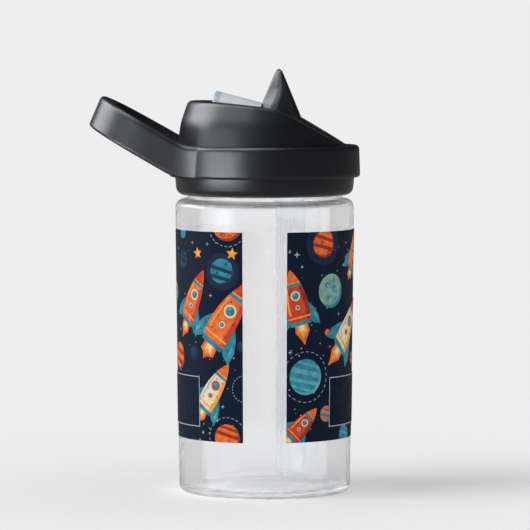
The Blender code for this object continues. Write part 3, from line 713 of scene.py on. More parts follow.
class Artwork:
    """Flat ink shapes on the unrolled print: u along it from the clear gap, v up the bottle, in mm."""

    def __init__(self):
        self.shapes = {}

    def add(self, ink, layer, points):
        self.shapes.setdefault(ink, []).append((layer, [Vector(point) for point in points]))

    def disc(self, ink, layer, centre, radius, points=40):
        turns = [math.tau * index / points for index in range(points)]
        self.add(ink, layer, [centre + ray(turn) * radius for turn in turns])

    def arc(self, ink, layer, centre, radius, width, start, stop, points=6):
        """A strip round part of a circle, with angles in parts of a turn."""
        ring = []
        for edge, order in ((radius + width / 2, 1), (radius - width / 2, -1)):
            side = []
            for index in range(points + 1):
                angle = math.tau * (start + (stop - start) * index / points)
                side.append(centre + ray(angle) * edge)
            ring += side[::order]
        for index in range(points):
            self.add(ink, layer, [ring[index], ring[index + 1], ring[-index - 2], ring[-index - 1]])

    def dashes(self, ink, layer, centre, radius, count=26, width=0.22):
        for index in range(count):
            self.arc(ink, layer, centre, radius, width, index / count, (index + 0.55) / count, 2)

    def star(self, ink, layer, centre, radius, tips=5, depth=0.45, turn=0.0):
        points = []
        for index in range(tips * 2):
            angle = math.tau * (index / (tips * 2) + turn) + math.pi / 2
            reach = radius * (depth if index % 2 else 1.0)
            points.append(centre + ray(angle) * reach)
        self.add(ink, layer, points)

    def band(self, ink, layer, centre, radius, low, high, tilt):
        """A stripe across a disc, between two heights given as parts of its radius."""
        across = Matrix.Rotation(tilt, 2)
        left, right = [], []
        steps = 10
        for index in range(steps + 1):
            height = low + (high - low) * index / steps
            reach = math.sqrt(max(1.0 - height * height, 0.0)) * 0.985
            sway = 0.05 * math.sin(3.0 * height + low * 20.0)
            left.append(centre + across @ Vector((-reach, height + sway * 0.5)) * radius)
            right.append(centre + across @ Vector((reach, height - sway * 0.5)) * radius)
        self.add(ink, layer, left + right[::-1])

    def crescent(self, ink, layer, centre, radius, depth, way, points=18):
        """The shaded edge of a disc, deepest in the direction `way`."""
        outer, inner = [], []
        for index in range(points + 1):
            angle = -math.pi / 2 + math.pi * index / points
            rim = ray(way + angle)
            outer.append(centre + rim * radius)
            inner.append(centre + rim * radius * (1.0 - depth * math.cos(angle) ** 0.8))
        self.add(ink, layer, outer + inner[::-1])

    def planet(self, centre, radius, inks, bands=(), spots=(), halo=0.0, dashes=0.0, tilt=-0.25):
        """A disc with stripes or spots, and perhaps a dim halo and a dashed orbit."""
        centre = Vector(centre)
        main, second = inks
        if halo:
            self.disc("haze", 0, centre, halo)
        if dashes:
            self.dashes("pale", 1, centre, dashes)
        self.disc(main, 2, centre, radius)
        self.crescent(second, 4, centre, radius, 0.2, -0.9)
        for low, high in bands:
            self.band(second, 3, centre, radius, low, high, tilt)
        for x, y, size in spots:
            crater = centre + Vector((x, y)) * radius
            self.disc(second, 3, crater, size * radius, 18)
            self.disc(main, 5, crater + Vector((0.25, -0.25)) * size * radius, size * radius * 0.5, 14)

    def rocket(self, base, tip, hull, nose, flame=0.32, width=0.19):
        """A rocket drawn from its engine to its nose."""
        base, tip = Vector(base), Vector(tip)
        axis = tip - base
        length = axis.length
        side = Vector((axis.y, -axis.x)) / length

        def at(along, aside):
            return base + axis * along + side * aside * length

        def half(along):
            return width * math.sin(math.pi * 0.64 * (1.0 - along) ** 0.8)

        def strip(ink, layer, low, high, first=1.0, second=-1.0, steps=14):
            levels = [low + (high - low) * index / steps for index in range(steps + 1)]
            near = [at(level, half(level) * first) for level in levels]
            far = [at(level, half(level) * second) for level in levels]
            self.add(ink, layer, near + far[::-1])

        for sign in (-1.0, 1.0):
            for ink, layer, outline in ROCKET_FINS:
                self.add(ink, layer, [
                    at(along, sign * (half(place) * share + past)) for along, place, share, past in outline
                ])
        for ink, layer, share in (("orange", 4, 1.0), ("amber", 5, 0.68), ("cream", 6, 0.36)):
            self.add(ink, layer, [
                at(0.03, half(0.0) * 0.62 * share),
                at(-0.12, half(0.0) * 0.70 * share),
                at(-flame * share * 0.72, half(0.0) * 0.22 * share),
                at(-flame * share, -half(0.0) * 0.05),
                at(-flame * share * 0.66, -half(0.0) * 0.34 * share),
                at(-0.12, -half(0.0) * 0.70 * share),
                at(0.03, -half(0.0) * 0.62 * share),
            ])
        strip(hull, 6, 0.0, 1.0)
        strip(ROCKET_SHADES[hull], 7, 0.08, 0.74, 0.62, 1.0, 12)
        strip("amber" if hull != "cream" else "pale", 7, 0.2, 0.68, -0.82, -0.68, 12)
        strip(nose, 8, 0.76, 1.0)
        strip("teal", 8, 0.0, 0.07)
        strip("teal", 8, 0.70, 0.75)
        strip("amber", 9, 0.75, 0.765)
        strip("amber", 8, 0.13, 0.155)
        for along, aside in RIVETS:
            self.disc("dusk", 9, at(along, half(along) * aside), 0.011 * length, 10)
        rim = "cream" if hull != "cream" else "scarlet"
        for along, size in ((0.53, 0.088), (0.32, 0.044)):
            self.disc(rim, 8, at(along, 0.0), size * length, 24)
            self.disc("teal", 9, at(along, 0.0), size * 0.72 * length, 24)
            self.disc("aqua", 10, at(along + size * 0.3, -size * 0.2), size * 0.3 * length, 14)

    def box(self, left, right, low, high, line=0.35):
        """A plain outlined panel."""
        self.add("navy", 10, [(left, low), (right, low), (right, high), (left, high)])
        for x0, x1, y0, y1 in (
            (left, right, low, low + line),
            (left, right, high - line, high),
            (left, left + line, low, high),
            (right - line, right, low, high),
        ):
            self.add("pale", 11, [(x0, y0), (x1, y0), (x1, y1), (x0, y1)])


def scatter_stars(art, count):
    """Dots and tiny sparkles strewn over the whole print, under everything else."""
    chance = random.Random(SEED)
    edge, back = PRINT_EDGE / MM, PRINT_BACK / MM
    for _ in range(count):
        u = chance.uniform(edge, back) * chance.choice((-1.0, 1.0))
        v = chance.uniform(WRAP_BOTTOM / MM, WRAP_TOP / MM)
        ink = chance.choice(("pale", "pale", "amber", "aqua", "cream"))
        if chance.random() < 0.2:
            art.star(ink, 0, Vector((u, v)), chance.uniform(0.6, 1.1), 4, 0.28)
        else:
            art.disc(ink, 0, Vector((u, v)), chance.uniform(0.12, 0.32), 10)


def draw_left_panel(art):
    art.planet((-41.0, 106.9), 2.4, SEA, bands=((0.1, 0.4),))
    art.planet((-15.4, 110.6), 6.5, FIRE, dashes=8.6, spots=((-0.3, -0.6, 0.16), (0.2, -0.7, 0.12)))
    art.star("amber", 3, Vector((-30.1, 98.9)), 2.5, turn=0.02)
    art.star("amber", 3, Vector((-13.3, 99.1)), 2.6, turn=-0.02)
    art.planet((-40.8, 95.6), 3.9, NIGHT, bands=((-0.2, 0.15), (0.4, 0.6)))
    art.planet((-17.8, 91.8), 5.3, ("teal", "dusk"), bands=((-0.62, -0.34), (0.0, 0.3)),
               spots=((0.35, 0.55, 0.13), (-0.4, -0.15, 0.12)), halo=7.6)
    art.rocket((-38.6, 70.6), (-26.6, 92.2), "orange", "scarlet", flame=0.30)
    art.rocket((-23.4, 62.2), (-6.0, 88.2), "orange", "scarlet", flame=0.22)
    art.planet((-46.5, 56.3), 5.6, FIRE, bands=((-0.5, -0.2), (0.25, 0.5)))
    art.planet((-33.2, 58.6), 2.0, NIGHT, halo=3.0)
    art.rocket((-28.0, 35.6), (-14.8, 54.8), "cream", "orange", flame=0.3)
    art.dashes("pale", 1, Vector((-8.0, 44.8)), 5.4)
    art.planet((-9.0, 62.0), 2.3, NIGHT)
    art.planet((-15.9, 24.7), 5.7, FIRE, bands=((0.1, 0.35), (0.6, 0.8)), dashes=8.4)
    art.planet((-52.0, 82.0), 4.0, MOON, spots=((0.2, 0.3, 0.2), (-0.3, -0.2, 0.15)))
    art.box(-62.0, -29.6, 28.6, 49.1)


def draw_right_panel(art):
    art.planet((25.9, 102.7), 5.5, FIRE, halo=8.6,
               bands=((-0.35, -0.1), (0.3, 0.55)), spots=((-0.2, 0.1, 0.14), (0.45, -0.6, 0.14)))
    stars = ((13.1, 98.7, 1.5), (15.3, 93.8, 0.9), (40.9, 96.8, 1.5), (38.3, 93.7, 0.9), (43.1, 89.4, 1.2))
    for u, v, size in stars:
        art.star("pale", 3, Vector((u, v)), size, 4, 0.26)
    art.rocket((15.2, 70.4), (10.0, 92.6), "scarlet", "orange", flame=0.36, width=0.22)
    art.planet((30.1, 83.7), 6.9, MOON, spots=(
        (-0.35, 0.35, 0.17), (0.25, 0.1, 0.22), (-0.2, -0.4, 0.15), (0.45, -0.45, 0.13), (0.2, 0.6, 0.11)))
    art.rocket((45.6, 91.0), (55.4, 110.0), "orange", "scarlet", flame=0.2)
    art.rocket((35.4, 60.0), (54.9, 79.6), "cream", "scarlet", flame=0.34)
    art.planet((17.4, 49.4), 7.3, SEA, dashes=10.2,
               bands=((-0.75, -0.6), (-0.35, -0.15), (0.1, 0.38), (0.62, 0.78)))
    art.planet((27.8, 34.0), 3.3, ("orange", "teal"), bands=((-0.4, 0.0), (0.35, 0.6)))
    art.rocket((10.4, 24.6), (22.6, 36.6), "scarlet", "orange", flame=0.3, width=0.22)
    art.planet((40.8, 24.8), 4.1, SEA, bands=((0.0, 0.3), (0.55, 0.7)))
    art.planet((28.0, 67.0), 1.4, FIRE)
    art.planet((50.0, 55.0), 2.6, FIRE, bands=((-0.1, 0.3),))
    art.box(29.3, 62.0, 28.6, 48.7)


def draw_back(art):
    """Fills the far side of the print with more of the same kinds of shapes."""
    chance = random.Random(SEED + 1)
    back = PRINT_BACK / MM
    for row, v in enumerate(BACK_ROWS):
        for column in range(BACK_COLUMNS):
            u = BACK_START + column * BACK_STEP + (row % 2) * BACK_SHIFT + chance.uniform(-1.5, 1.5)
            if u > back:
                u -= 2 * back
            if abs(u) > PANEL_REACH:
                place = Vector((u, v + chance.uniform(-2.0, 2.0)))
                kind = (row + column) % 3
                if kind == 0:
                    reach = Vector((chance.uniform(5.0, 8.0), chance.uniform(7.0, 10.0)))
                    hull, nose = chance.choice(ROCKET_INKS)
                    art.rocket(place - reach, place + reach, hull, nose)
                elif kind == 1:
                    art.planet(place, chance.uniform(4.0, 6.5), SEA, bands=((-0.5, -0.2), (0.1, 0.4)),
                               dashes=chance.choice((0.0, 8.6)))
                else:
                    art.planet(place, chance.uniform(3.5, 6.0), FIRE, halo=7.8,
                               spots=((-0.3, 0.3, 0.18), (0.3, -0.2, 0.2), (-0.1, -0.6, 0.12)))


def bisect(bm, place, way, drop):
    """Cuts all faces along a plane, and drops what is in front of it if asked."""
    everything = bm.verts[:] + bm.edges[:] + bm.faces[:]
    bmesh.ops.bisect_plane(bm, geom=everything, plane_co=place, plane_no=way, clear_outer=drop)


def ink_piece(ink, shapes, side):
    """All shapes of one ink on one side of the gap, cut to the print and bent round the bottle."""
    bm = bmesh.new()
    for layer, points in shapes:
        height = INK_STAND_OFF + INK_LAYER * layer
        face = bm.faces.new([bm.verts.new((point.x * MM, point.y * MM, height)) for point in points])
        face.normal_update()
        if face.normal.z < 0.0:
            face.normal_flip()
    bmesh.ops.triangulate(bm, faces=bm.faces[:])
    inset = INK_LAYER
    bisect(bm, (0.0, WRAP_BOTTOM + inset, 0.0), (0.0, -1.0, 0.0), True)
    bisect(bm, (0.0, WRAP_TOP - inset, 0.0), (0.0, 1.0, 0.0), True)
    bisect(bm, (side * (PRINT_EDGE + inset), 0.0, 0.0), (-side, 0.0, 0.0), True)
    bisect(bm, (side * (PRINT_BACK - inset), 0.0, 0.0), (side, 0.0, 0.0), True)
    slices = math.ceil(PRINT_BACK / INK_SLICE)
    for index in range(slices):
        bisect(bm, (side * INK_SLICE * index, 0.0, 0.0), (1.0, 0.0, 0.0), False)
    for vert in bm.verts:
        u, v, height = vert.co
        angle = WRAP_GAP_CENTRE + u / PRINT_RADIUS
        radius = wall_radius_at(v) + WRAP_STAND_OFF + WRAP_THICKNESS + height
        vert.co = round_point(radius, angle, v)
    if not bm.faces:
        bm.free()
        return None
    piece = new_item(f"ink_{ink}_{'right' if side > 0 else 'left'}", mesh_of(ink, bm))
    thicken = piece.modifiers.new("thickness", "SOLIDIFY")
    thicken.thickness = INK_THICKNESS
    thicken.offset = -1.0
    return smooth(baked(piece), math.radians(60.0))


def make_artwork():
    art = Artwork()
    scatter_stars(art, STAR_COUNT)
    draw_left_panel(art)
    draw_right_panel(art)
    draw_back(art)
    for ink, shapes in art.shapes.items():
        first, second = INKS[ink]
        look = mottled(f"ink_{ink}", first, second, 0.5, 420.0, specular=0.15)
        for side in (-1.0, 1.0):
            piece = ink_piece(ink, shapes, side)
            if piece is not None:
                dress(piece, look, "bottle", "print")


# Cap pieces


def make_closure():
    """The screw closure: collar, deck, plug skirt, inner thread, straw spigot and vent holes."""
    upper = rounded([
        (0.0, DECK_TOP, 0.0),
        (COLLAR_RADIUS, DECK_TOP, 0.6 * MM),
        (COLLAR_RADIUS, BAND_BOTTOM, 0.0),
        (COLLAR_FOOT_RADIUS, COLLAR_BOTTOM, COLLAR_CORNER),
        (CAP_BORE, COLLAR_BOTTOM, 0.4 * MM),
        (CAP_BORE, DECK_UNDERSIDE, 0.0),
    ])[:-1]
    lowest, highest = thread_ends(CAP_THREAD_START)
    thread = rows_between(CAP_BORE, max(lowest, COLLAR_BOTTOM + 0.6 * MM), highest)
    lower = rounded([
        (CAP_BORE, DECK_UNDERSIDE, 0.0),
        (PLUG_RADIUS, DECK_UNDERSIDE, 0.0),
        (PLUG_RADIUS, DECK_UNDERSIDE - PLUG_DEPTH, 0.5 * MM),
        (PLUG_RADIUS - PLUG_WALL, DECK_UNDERSIDE - PLUG_DEPTH, 0.5 * MM),
        (PLUG_RADIUS - PLUG_WALL, DECK_UNDERSIDE, 0.0),
        (0.0, DECK_UNDERSIDE, 0.0),
    ])
    push = thread_push(CAP_BORE, CAP_THREAD_CREST, CAP_THREAD_START)
    closure = turned("screw_closure", upper + thread + lower, closed=False, push=push)
    axis = Vector((PIVOT.x, 0.0, 0.0))
    past = 2.0 * MM
    spigot = rod("spigot", axis + up(SPIGOT_BOTTOM), axis + up(DECK_UNDERSIDE + 0.7 * MM), SPIGOT_RADIUS)
    port = rod("port", axis + up(SPIGOT_BOTTOM - past), axis + up(DECK_TOP + past), PORT_RADIUS)
    vent = Vector((VENT_X, 0.0, 0.0))
    stem = rod("stem", vent + up(SPIGOT_BOTTOM), vent + up(DECK_TOP + past), VENT_STEM_HOLE, 32)
    carved(closure, "UNION", spigot)
    carved(closure, "DIFFERENCE", port, stem)
    return smooth(closure)


def up(height):
    return Vector((0.0, 0.0, height))


def strap_point(reach, across, height):
    """A point of the bent strap: reach along it from the cap's axis, across it, and height in it."""
    bend = min(max((reach - LOOP_BEND_START) / LOOP_BEND_RADIUS, 0.0), LOOP_TILT)
    straight = max(reach - LOOP_BEND_START - LOOP_BEND_RADIUS * LOOP_TILT, 0.0)
    flat = min(reach, LOOP_BEND_START)
    x = -(flat + LOOP_BEND_RADIUS * math.sin(bend) + straight * math.cos(LOOP_TILT))
    z = LOOP_BEND_RADIUS * (1.0 - math.cos(bend)) + straight * math.sin(LOOP_TILT)
    middle = Vector((x, across, (BAND_BOTTOM + BAND_TOP) / 2 + z))
    lean = bend * LOOP_LEAN
    return middle + Vector((math.sin(lean), 0.0, math.cos(lean))) * height


def loop_edge():
    """Half of the loop's outer edge in the flat strap: (point, outward direction) pairs."""
    centre = Vector((LOOP_LENGTH - LOOP_END_RADIUS, 0.0))
    arm_end = centre + Vector((math.sin(LOOP_TAPER), math.cos(LOOP_TAPER))) * LOOP_END_RADIUS
    root_pull, end_pull = ray(-LOOP_ROOT_ANGLE) * LOOP_ROOT_PULL, ray(-LOOP_TAPER) * LOOP_END_PULL
    controls = (LOOP_ROOT, LOOP_ROOT + root_pull, arm_end - end_pull, arm_end)
    edge = []
    for step in range(LOOP_STEPS):
        t = step / LOOP_STEPS
        u = 1.0 - t
        point = controls[0] * u**3 + controls[1] * 3 * u * u * t
        point += controls[2] * 3 * u * t * t + controls[3] * t**3
        way = (controls[1] - controls[0]) * u * u + (controls[2] - controls[1]) * 2 * u * t
        way = (way + (controls[3] - controls[2]) * t * t).normalized()
        edge.append((point, Vector((-way.y, way.x))))
    for step in range(LOOP_STEPS + 1):
        angle = LOOP_TAPER + (math.pi / 2 - LOOP_TAPER) * step / LOOP_STEPS
        outward = Vector((math.sin(angle), math.cos(angle)))
        edge.append((centre + outward * LOOP_END_RADIUS, outward))
    return edge


def make_band_and_loop():
    band = turned("band_and_loop", rounded([
        (BAND_RADIUS - BAND_FLARE, BAND_TOP, 1.7 * MM),
        (BAND_RADIUS + BAND_FLARE, BAND_BOTTOM, 1.0 * MM),
        (COLLAR_RADIUS + GAP, BAND_BOTTOM, 0.0),
        (COLLAR_RADIUS + GAP, BAND_LIP, 0.0),
        (BAND_LIP_BORE, BAND_LIP, 0.0),
        (BAND_LIP_BORE, BAND_TOP, 0.4 * MM),
    ]))
    half = loop_edge()
    mirrored = [(Vector((p.x, -p.y)), Vector((n.x, -n.y))) for p, n in reversed(half[:-1])]
    section = rounded([
        (0.0, -LOOP_HALF_HEIGHT, LOOP_EDGE_FILLET),
        (0.0, LOOP_HALF_HEIGHT, LOOP_TOP_FILLET),
        (-LOOP_THICKNESS, LOOP_HALF_HEIGHT, LOOP_EDGE_FILLET),
        (-LOOP_THICKNESS, -LOOP_HALF_HEIGHT, LOOP_EDGE_FILLET),
    ], steps=4)
    rings = []
    for point, outward in half + mirrored:
        ring = []
        for inward, height in section:
            place = point + outward * inward
            ring.append(strap_point(place.x, place.y, height))
        rings.append(ring)
    strap = loft("strap", rings)
    bore = rod("bore", up(BAND_BOTTOM - 5 * MM), up(BAND_TOP + 5 * MM), COLLAR_RADIUS + 2 * GAP, LARGE_STEPS)
    carved(strap, "DIFFERENCE", bore)
    carved(band, "UNION", strap)
    return softened(band, BODY_VOXEL)


def dome_blank(name, inset):
    bottom = DOME_BOTTOM - inset
    return turned(name, rounded([
        (0.0, DOME_CROWN - inset, 0.0),
        (DOME_CROWN_RADIUS - inset, DOME_CROWN - inset, DOME_CROWN_FILLET),
        (DOME_WAIST_RADIUS - inset, DOME_WAIST, DOME_WAIST_BLEND),
        (DOME_FOOT_RADIUS - inset, bottom, 0.0),
        (0.0, bottom, 0.0),
    ]), closed=False)


def dome_side(name, drop):
    """The dome's side view: the crown, the long cheek line and the ramp, lowered by a drop."""
    outline = rounded([
        (-SIDE_REACH, SIDE_FLOOR, 0.0),
        (SIDE_REACH, SIDE_FLOOR, 0.0),
        (RAMP_FOOT.x, RAMP_FOOT.y - drop, 0.0),
        (RAMP_TOP.x, RAMP_TOP.y - drop, RAMP_BLEND),
        (CHEEK_FRONT.x, CHEEK_FRONT.y - drop, FRONT_BLEND),
        (CHEEK_CREST.x, CHEEK_CREST.y - drop, CREST_BLEND),
        (CHEEK_BACK.x, CHEEK_BACK.y - drop, 0.0),
    ])
    return prism(name, outline, "Y", -SIDE_REACH, SIDE_REACH)


def slot_block(name, widen):
    """The lengthwise slot, open at its +X end and round at the other."""
    half = SLOT_HALF_WIDTH + widen
    end = SLOT_END - widen
    outline = rounded([
        (end, -half, SLOT_CORNER + widen),
        (SIDE_REACH, -half, 0.0),
        (SIDE_REACH, half, 0.0),
        (end, half, SLOT_CORNER + widen),
    ])
    return prism(name, outline, "Z", DOME_BOTTOM - 5 * MM, DOME_CROWN + 5 * MM)


def make_dome():
    dome = dome_blank("dome_shell", 0.0)
    carved(dome, "INTERSECT", dome_side("side", 0.0))
    carved(dome, "DIFFERENCE", slot_block("slot", 0.0))
    hollow = dome_blank("hollow", DOME_WALL)
    carved(hollow, "INTERSECT", dome_side("hollow_side", DOME_WALL))
    carved(hollow, "DIFFERENCE", slot_block("hollow_slot", SLOT_WALL))
    carved(dome, "DIFFERENCE", hollow)
    bearing = cross_rod("bearing", SLOT_HALF_WIDTH + SLOT_WALL + 1 * MM, TRUNNION_RADIUS + GAP)
    carved(dome, "DIFFERENCE", bearing)
    return softened(dome, BODY_VOXEL)


# Drink parts


def spout_way():
    """The folded spout's direction from its pivot."""
    return Vector((-math.cos(SPOUT_TILT), 0.0, math.sin(SPOUT_TILT)))


def fin_section(height):
    """The thumb fin's outline, as (x, y), at a height above its foot, 0 to 1.

    A wedge faces the mouthpiece; behind it the sides run straight to a flat back.
    """
    front = FIN_FRONT + FIN_FRONT_LEAN * max(height - FIN_UPRIGHT, 0.0)
    back = FIN_BACK - FIN_BACK_LEAN * height
    half = FIN_HALF_WIDTH - FIN_NARROWING * height**FIN_NARROWING_POWER
    length = back - front
    share = FIN_WEDGE_FOOT + (FIN_WEDGE_TOP - FIN_WEDGE_FOOT) * min(height * FIN_WEDGE_GROWTH, 1.0)
    wedge = front + length * share
    nose = half * FIN_NOSE
    return rounded([
        (front, -nose, nose * 0.8),
        (wedge, -half, half * 0.8),
        (back, -half * FIN_BACK_WIDTH, half * 0.12),
        (back, half * FIN_BACK_WIDTH, half * 0.12),
        (wedge, half, half * 0.8),
        (front, nose, nose * 0.8),
    ])


def make_fin():
    rings = []
    for row in range(FIN_ROWS + 1):
        height = row / FIN_ROWS
        outline = fin_section(height)
        past = max(height - FIN_TIP_START, 0.0) / (1.0 - FIN_TIP_START)
        size = math.sqrt(max(1.0 - past * past * 0.8, 0.0))
        middle = (min(p.x for p in outline) + max(p.x for p in outline)) / 2
        level = FIN_FOOT + (FIN_TOP - FIN_FOOT) * height
        rings.append([Vector((middle + (p.x - middle) * size, p.y * size, level)) for p in outline])
    foot_middle = (FIN_FRONT + FIN_BACK) / 2
    buried = [Vector((foot_middle + (p.x - foot_middle) * 0.5, p.y * 0.9, FIN_BURIED)) for p in rings[0]]
    return loft("fin", [buried] + rings)


def make_spout():
    way = spout_way()
    spout = cross_rod("spout_arm", BARREL_HALF_LENGTH, BARREL_RADIUS)
    trunnions = cross_rod("trunnions", TRUNNION_REACH, TRUNNION_RADIUS)
    nozzle = laid_along(turned("nozzle", rounded([
        (0.0, NOZZLE_END, 0.0),
        (NOZZLE_RADIUS, NOZZLE_END, 0.0),
        (NOZZLE_RADIUS, SHOULDER_END, 0.0),
        (NOZZLE_SHOULDER_RADIUS, SHOULDER_END, 0.5 * MM),
        (NOZZLE_SHOULDER_RADIUS, SHOULDER_FULL, 0.0),
        (SHOULDER_START_RADIUS, SHOULDER_START, 0.0),
        (SHOULDER_START_RADIUS * 0.8, 0.0, 0.0),
        (0.0, 0.0, 0.0),
    ]), SMALL_STEPS, closed=False), PIVOT, way)
    carved(spout, "UNION", trunnions, nozzle, make_fin())
    channel = rod("channel", PIVOT, PIVOT + way * (NOZZLE_END + 2 * MM), CHANNEL_RADIUS, 32)
    inlet = rod("inlet", PIVOT, PIVOT + Vector((BARREL_RADIUS + 2 * MM, 0.0, 0.0)), CHANNEL_RADIUS, 32)
    carved(spout, "DIFFERENCE", channel, inlet)
    return softened(spout, SPOUT_VOXEL)


def make_bite_valve():
    """A sleeve over the nozzle with a thick, slit end."""
    length = VALVE_END - VALVE_START
    valve = turned("mouthpiece", rounded([
        (0.0, length, 0.0),
        (VALVE_RADIUS, length, 1.0 * MM),
        (VALVE_RADIUS, 0.0, 0.4 * MM),
        (VALVE_SOCKET_RADIUS, 0.0, 0.0),
        (VALVE_SOCKET_RADIUS, length - VALVE_TIP, 0.0),
        (0.0, length - VALVE_TIP, 0.0),
    ]), SMALL_STEPS, closed=False)
    across, along = SLIT_WIDTH / 2, SLIT_LENGTH / 2
    outline = [(-across, -along), (across, -along), (across, along), (-across, along)]
    carved(valve, "DIFFERENCE", prism("slit", outline, "Z", length - VALVE_TIP - MM, length + MM))
    return smooth(laid_along(valve, PIVOT + spout_way() * VALVE_START, spout_way()))


def make_straw():
    top = DECK_UNDERSIDE - GAP
    straw = turned("straw_tube", rounded([
        (STRAW_RADIUS, top, 0.2 * MM),
        (STRAW_RADIUS, STRAW_BOTTOM, 0.2 * MM),
        (STRAW_RADIUS - STRAW_WALL, STRAW_BOTTOM, 0.2 * MM),
        (STRAW_RADIUS - STRAW_WALL, top, 0.2 * MM),
    ], steps=2), SMALL_STEPS)
    straw.data.transform(Matrix.Translation((PIVOT.x, 0.0, 0.0)))
    return straw


# Stage and light


def round_about(azimuth, elevation, distance):
    """A place seen from the bottle: azimuth in degrees left of the camera, elevation in degrees."""
    angle = CAMERA_AZIMUTH - math.radians(azimuth)
    rise = math.radians(elevation)
    return round_point(math.cos(rise) * distance, angle, math.sin(rise) * distance)


def aimed(item, place, target):
    item.location = place
    item.rotation_euler = (target - place).to_track_quat("-Z", "Y").to_euler()


def softbox(name, azimuth, elevation, distance, size, power, only=None):
    """A rectangular light that only shows in shiny faces, and perhaps only in some pieces."""
    light = bpy.data.lights.new(name, "AREA")
    light.shape = "RECTANGLE"
    light.size, light.size_y = size
    light.energy = power
    light.color = SOFTBOX_COLOR
    lamp = new_item(name, light)
    if only:
        group = bpy.data.collections.new(name + "_pieces")
        for piece in only:
            group.objects.link(piece)
        lamp.light_linking.receiver_collection = group
        lamp.light_linking.blocker_collection = group
    target = up(0.14)
    aimed(lamp, target + round_about(azimuth, elevation, distance), target)
    lamp.visible_camera = False
    lamp.visible_diffuse = False
    lamp.visible_transmission = False


def make_sun(azimuth, elevation, strength, spread):
    light = bpy.data.lights.new("sun", "SUN")
    light.energy = strength
    light.angle = math.radians(spread)
    lamp = new_item("sun", light)
    aimed(lamp, round_about(azimuth, elevation, 2.0), up(0.0))
    lamp.visible_glossy = False


def mirrored_first(tree, path):
    """1 for rays a shiny face throws straight back, 0 for all that have passed through plastic."""
    depth = path.outputs["Transmission Depth"]
    outside = add_node(tree, "Math", {0: depth, 1: 0.5}, operation="LESS_THAN").outputs["Value"]
    both = {0: path.outputs["Is Glossy Ray"], 1: outside}
    return add_node(tree, "Math", both, operation="MULTIPLY").outputs["Value"]


def make_surroundings():
    """A pale room for the eye and for dull faces, and a dark one for mirrored rays."""
    world = bpy.data.worlds.new("studio")
    bpy.context.scene.world = world
    world.use_nodes = True
    tree = world.node_tree
    tree.nodes.clear()
    path = add_node(tree, "LightPath", {})
    seen, felt, mirrored = (
        add_node(tree, "Background", {"Color": (level, level, level * COOLNESS, 1.0)}).outputs["Background"]
        for level in (BACKDROP, AMBIENT, GLOSS_SURROUND)
    )
    dull = mix_shaders(tree, path.outputs["Is Diffuse Ray"], seen, felt)
    add_node(tree, "OutputWorld", {"Surface": mix_shaders(tree, mirrored_first(tree, path), dull, mirrored)})


def make_floor():
    """A wide floor that takes the bottle's shadow nearby and melts into the backdrop further out."""
    bm = bmesh.new()
    bmesh.ops.create_grid(bm, x_segments=1, y_segments=1, size=FLOOR_REACH)
    floor = new_piece("floor", bm)
    floor.location.z = -0.05 * MM
    first, second = (0.853, 0.853, 0.855, 1.0), (0.857, 0.857, 0.860, 1.0)
    material = mottled("floor_paper", first, second, 0.9, 30.0, spread=0.0, specular=0.0)
    tree = material.node_tree
    shader = tree.nodes["Principled BSDF"]
    glow, dim = (
        add_node(tree, "Emission", {"Color": (level, level, level * coolness, 1.0)}).outputs["Emission"]
        for level, coolness in ((BACKDROP, COOLNESS), (FLOOR_MIRRORED, 1.0))
    )
    distance = add_node(tree, "VectorMath", {0: place_on(tree)}, operation="LENGTH").outputs["Value"]
    far = remap(tree, distance, 0.0, 1.0, FLOOR_FADES_FROM, FLOOR_FADES_TO)
    paper = mix_shaders(tree, far, shader.outputs["BSDF"], glow)
    mirrored = mirrored_first(tree, add_node(tree, "LightPath", {}))
    fill(tree, tree.nodes["Material Output"], {"Surface": mix_shaders(tree, mirrored, paper, dim)})
    floor.data.materials.append(material)


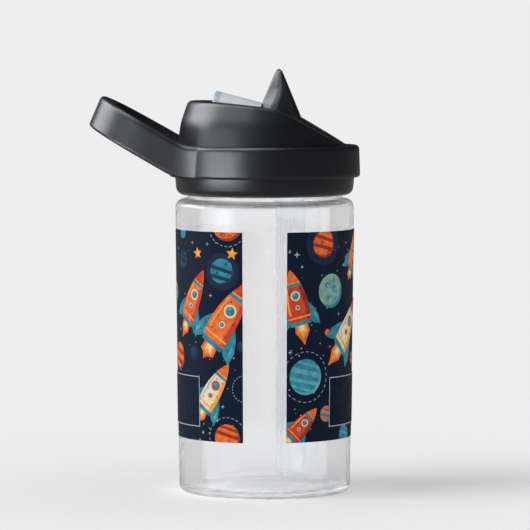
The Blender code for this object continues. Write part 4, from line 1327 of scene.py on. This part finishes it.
def make_camera():
    data = bpy.data.cameras.new("camera")
    data.lens = LENS
    data.sensor_width = SENSOR
    data.dof.use_dof = False
    camera = new_item("camera", data)
    place = round_about(0.0, 0.0, CAMERA_DISTANCE) + up(CAMERA_HEIGHT)
    target = up(CAMERA_HEIGHT - CAMERA_DISTANCE * math.tan(CAMERA_PITCH))
    target += round_about(-90.0, 0.0, CAMERA_SIDE_AIM)
    aimed(camera, place, target)
    bpy.context.scene.camera = camera


def make_pieces():
    black = black_plastic()
    silicone = mottled("seal_silicone", (0.52, 0.54, 0.57, 1.0), (0.46, 0.48, 0.52, 1.0), 0.45, 250.0)

    bottle = dress(make_clear_bottle(), clear_plastic(), "bottle", "clear_shell", "bottle_shell")
    bottle.visible_shadow = False
    ground = mottled("print_ground", NAVY, tint(3, 22, 45), 0.5, 160.0, specular=0.15)
    wrap = make_wrap(ground, wrap_backing())
    dress(wrap, None, "bottle", "print", "printed_wrap")
    make_artwork()

    dress(make_closure(), black, "cap", "black_plastic", "cap_body")
    dress(make_band_and_loop(), black, "cap", "black_plastic", "carry_handle")
    dress(make_dome(), black, "cap", "black_plastic", "dome_cover")
    dress(make_spout(), black, "spout", "black_plastic", "spout")
    dress(make_bite_valve(), valve_silicone(), "spout", "valve_silicone", "bite_valve")
    milky = see_through("straw_plastic", (0.96, 0.975, 0.99, 1.0), 150.0, 0.12, 0.2, 1.12)[0]
    straw = dress(make_straw(), milky, "cap", "straw_plastic", "straw")
    straw.visible_shadow = False
    for node in ("cap_gasket", "spout_seal", "vent_valve"):
        item = frame["nodes"][node]
        item.data.materials.clear()
        item.data.materials.append(silicone)


def main():
    make_pieces()
    make_surroundings()
    make_floor()
    black = [item for item in bpy.data.objects if item.get("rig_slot") == "black_plastic"]
    clear = [item for item in bpy.data.objects if item.get("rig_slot") == "clear_shell"]
    softbox("high_softbox", 107.0, 29.5, 0.95, (0.78, 0.60), 12.5)
    softbox("wide_softbox", 54.0, 40.0, 0.95, (1.0, 0.30), 4.0)
    softbox("low_softbox", 54.0, -4.5, 1.0, (0.85, 0.10), 9.5, black)
    softbox("front_softbox", 54.0, 8.0, 1.1, (0.55, 0.42), 3.0, clear)
    softbox("top_softbox", 60.0, 72.0, 1.0, (0.7, 0.7), 9.0)
    make_sun(70.0, 42.0, 1.2, 40.0)
    make_camera()
    bpy.context.scene.view_settings.view_transform = "Standard"


main()
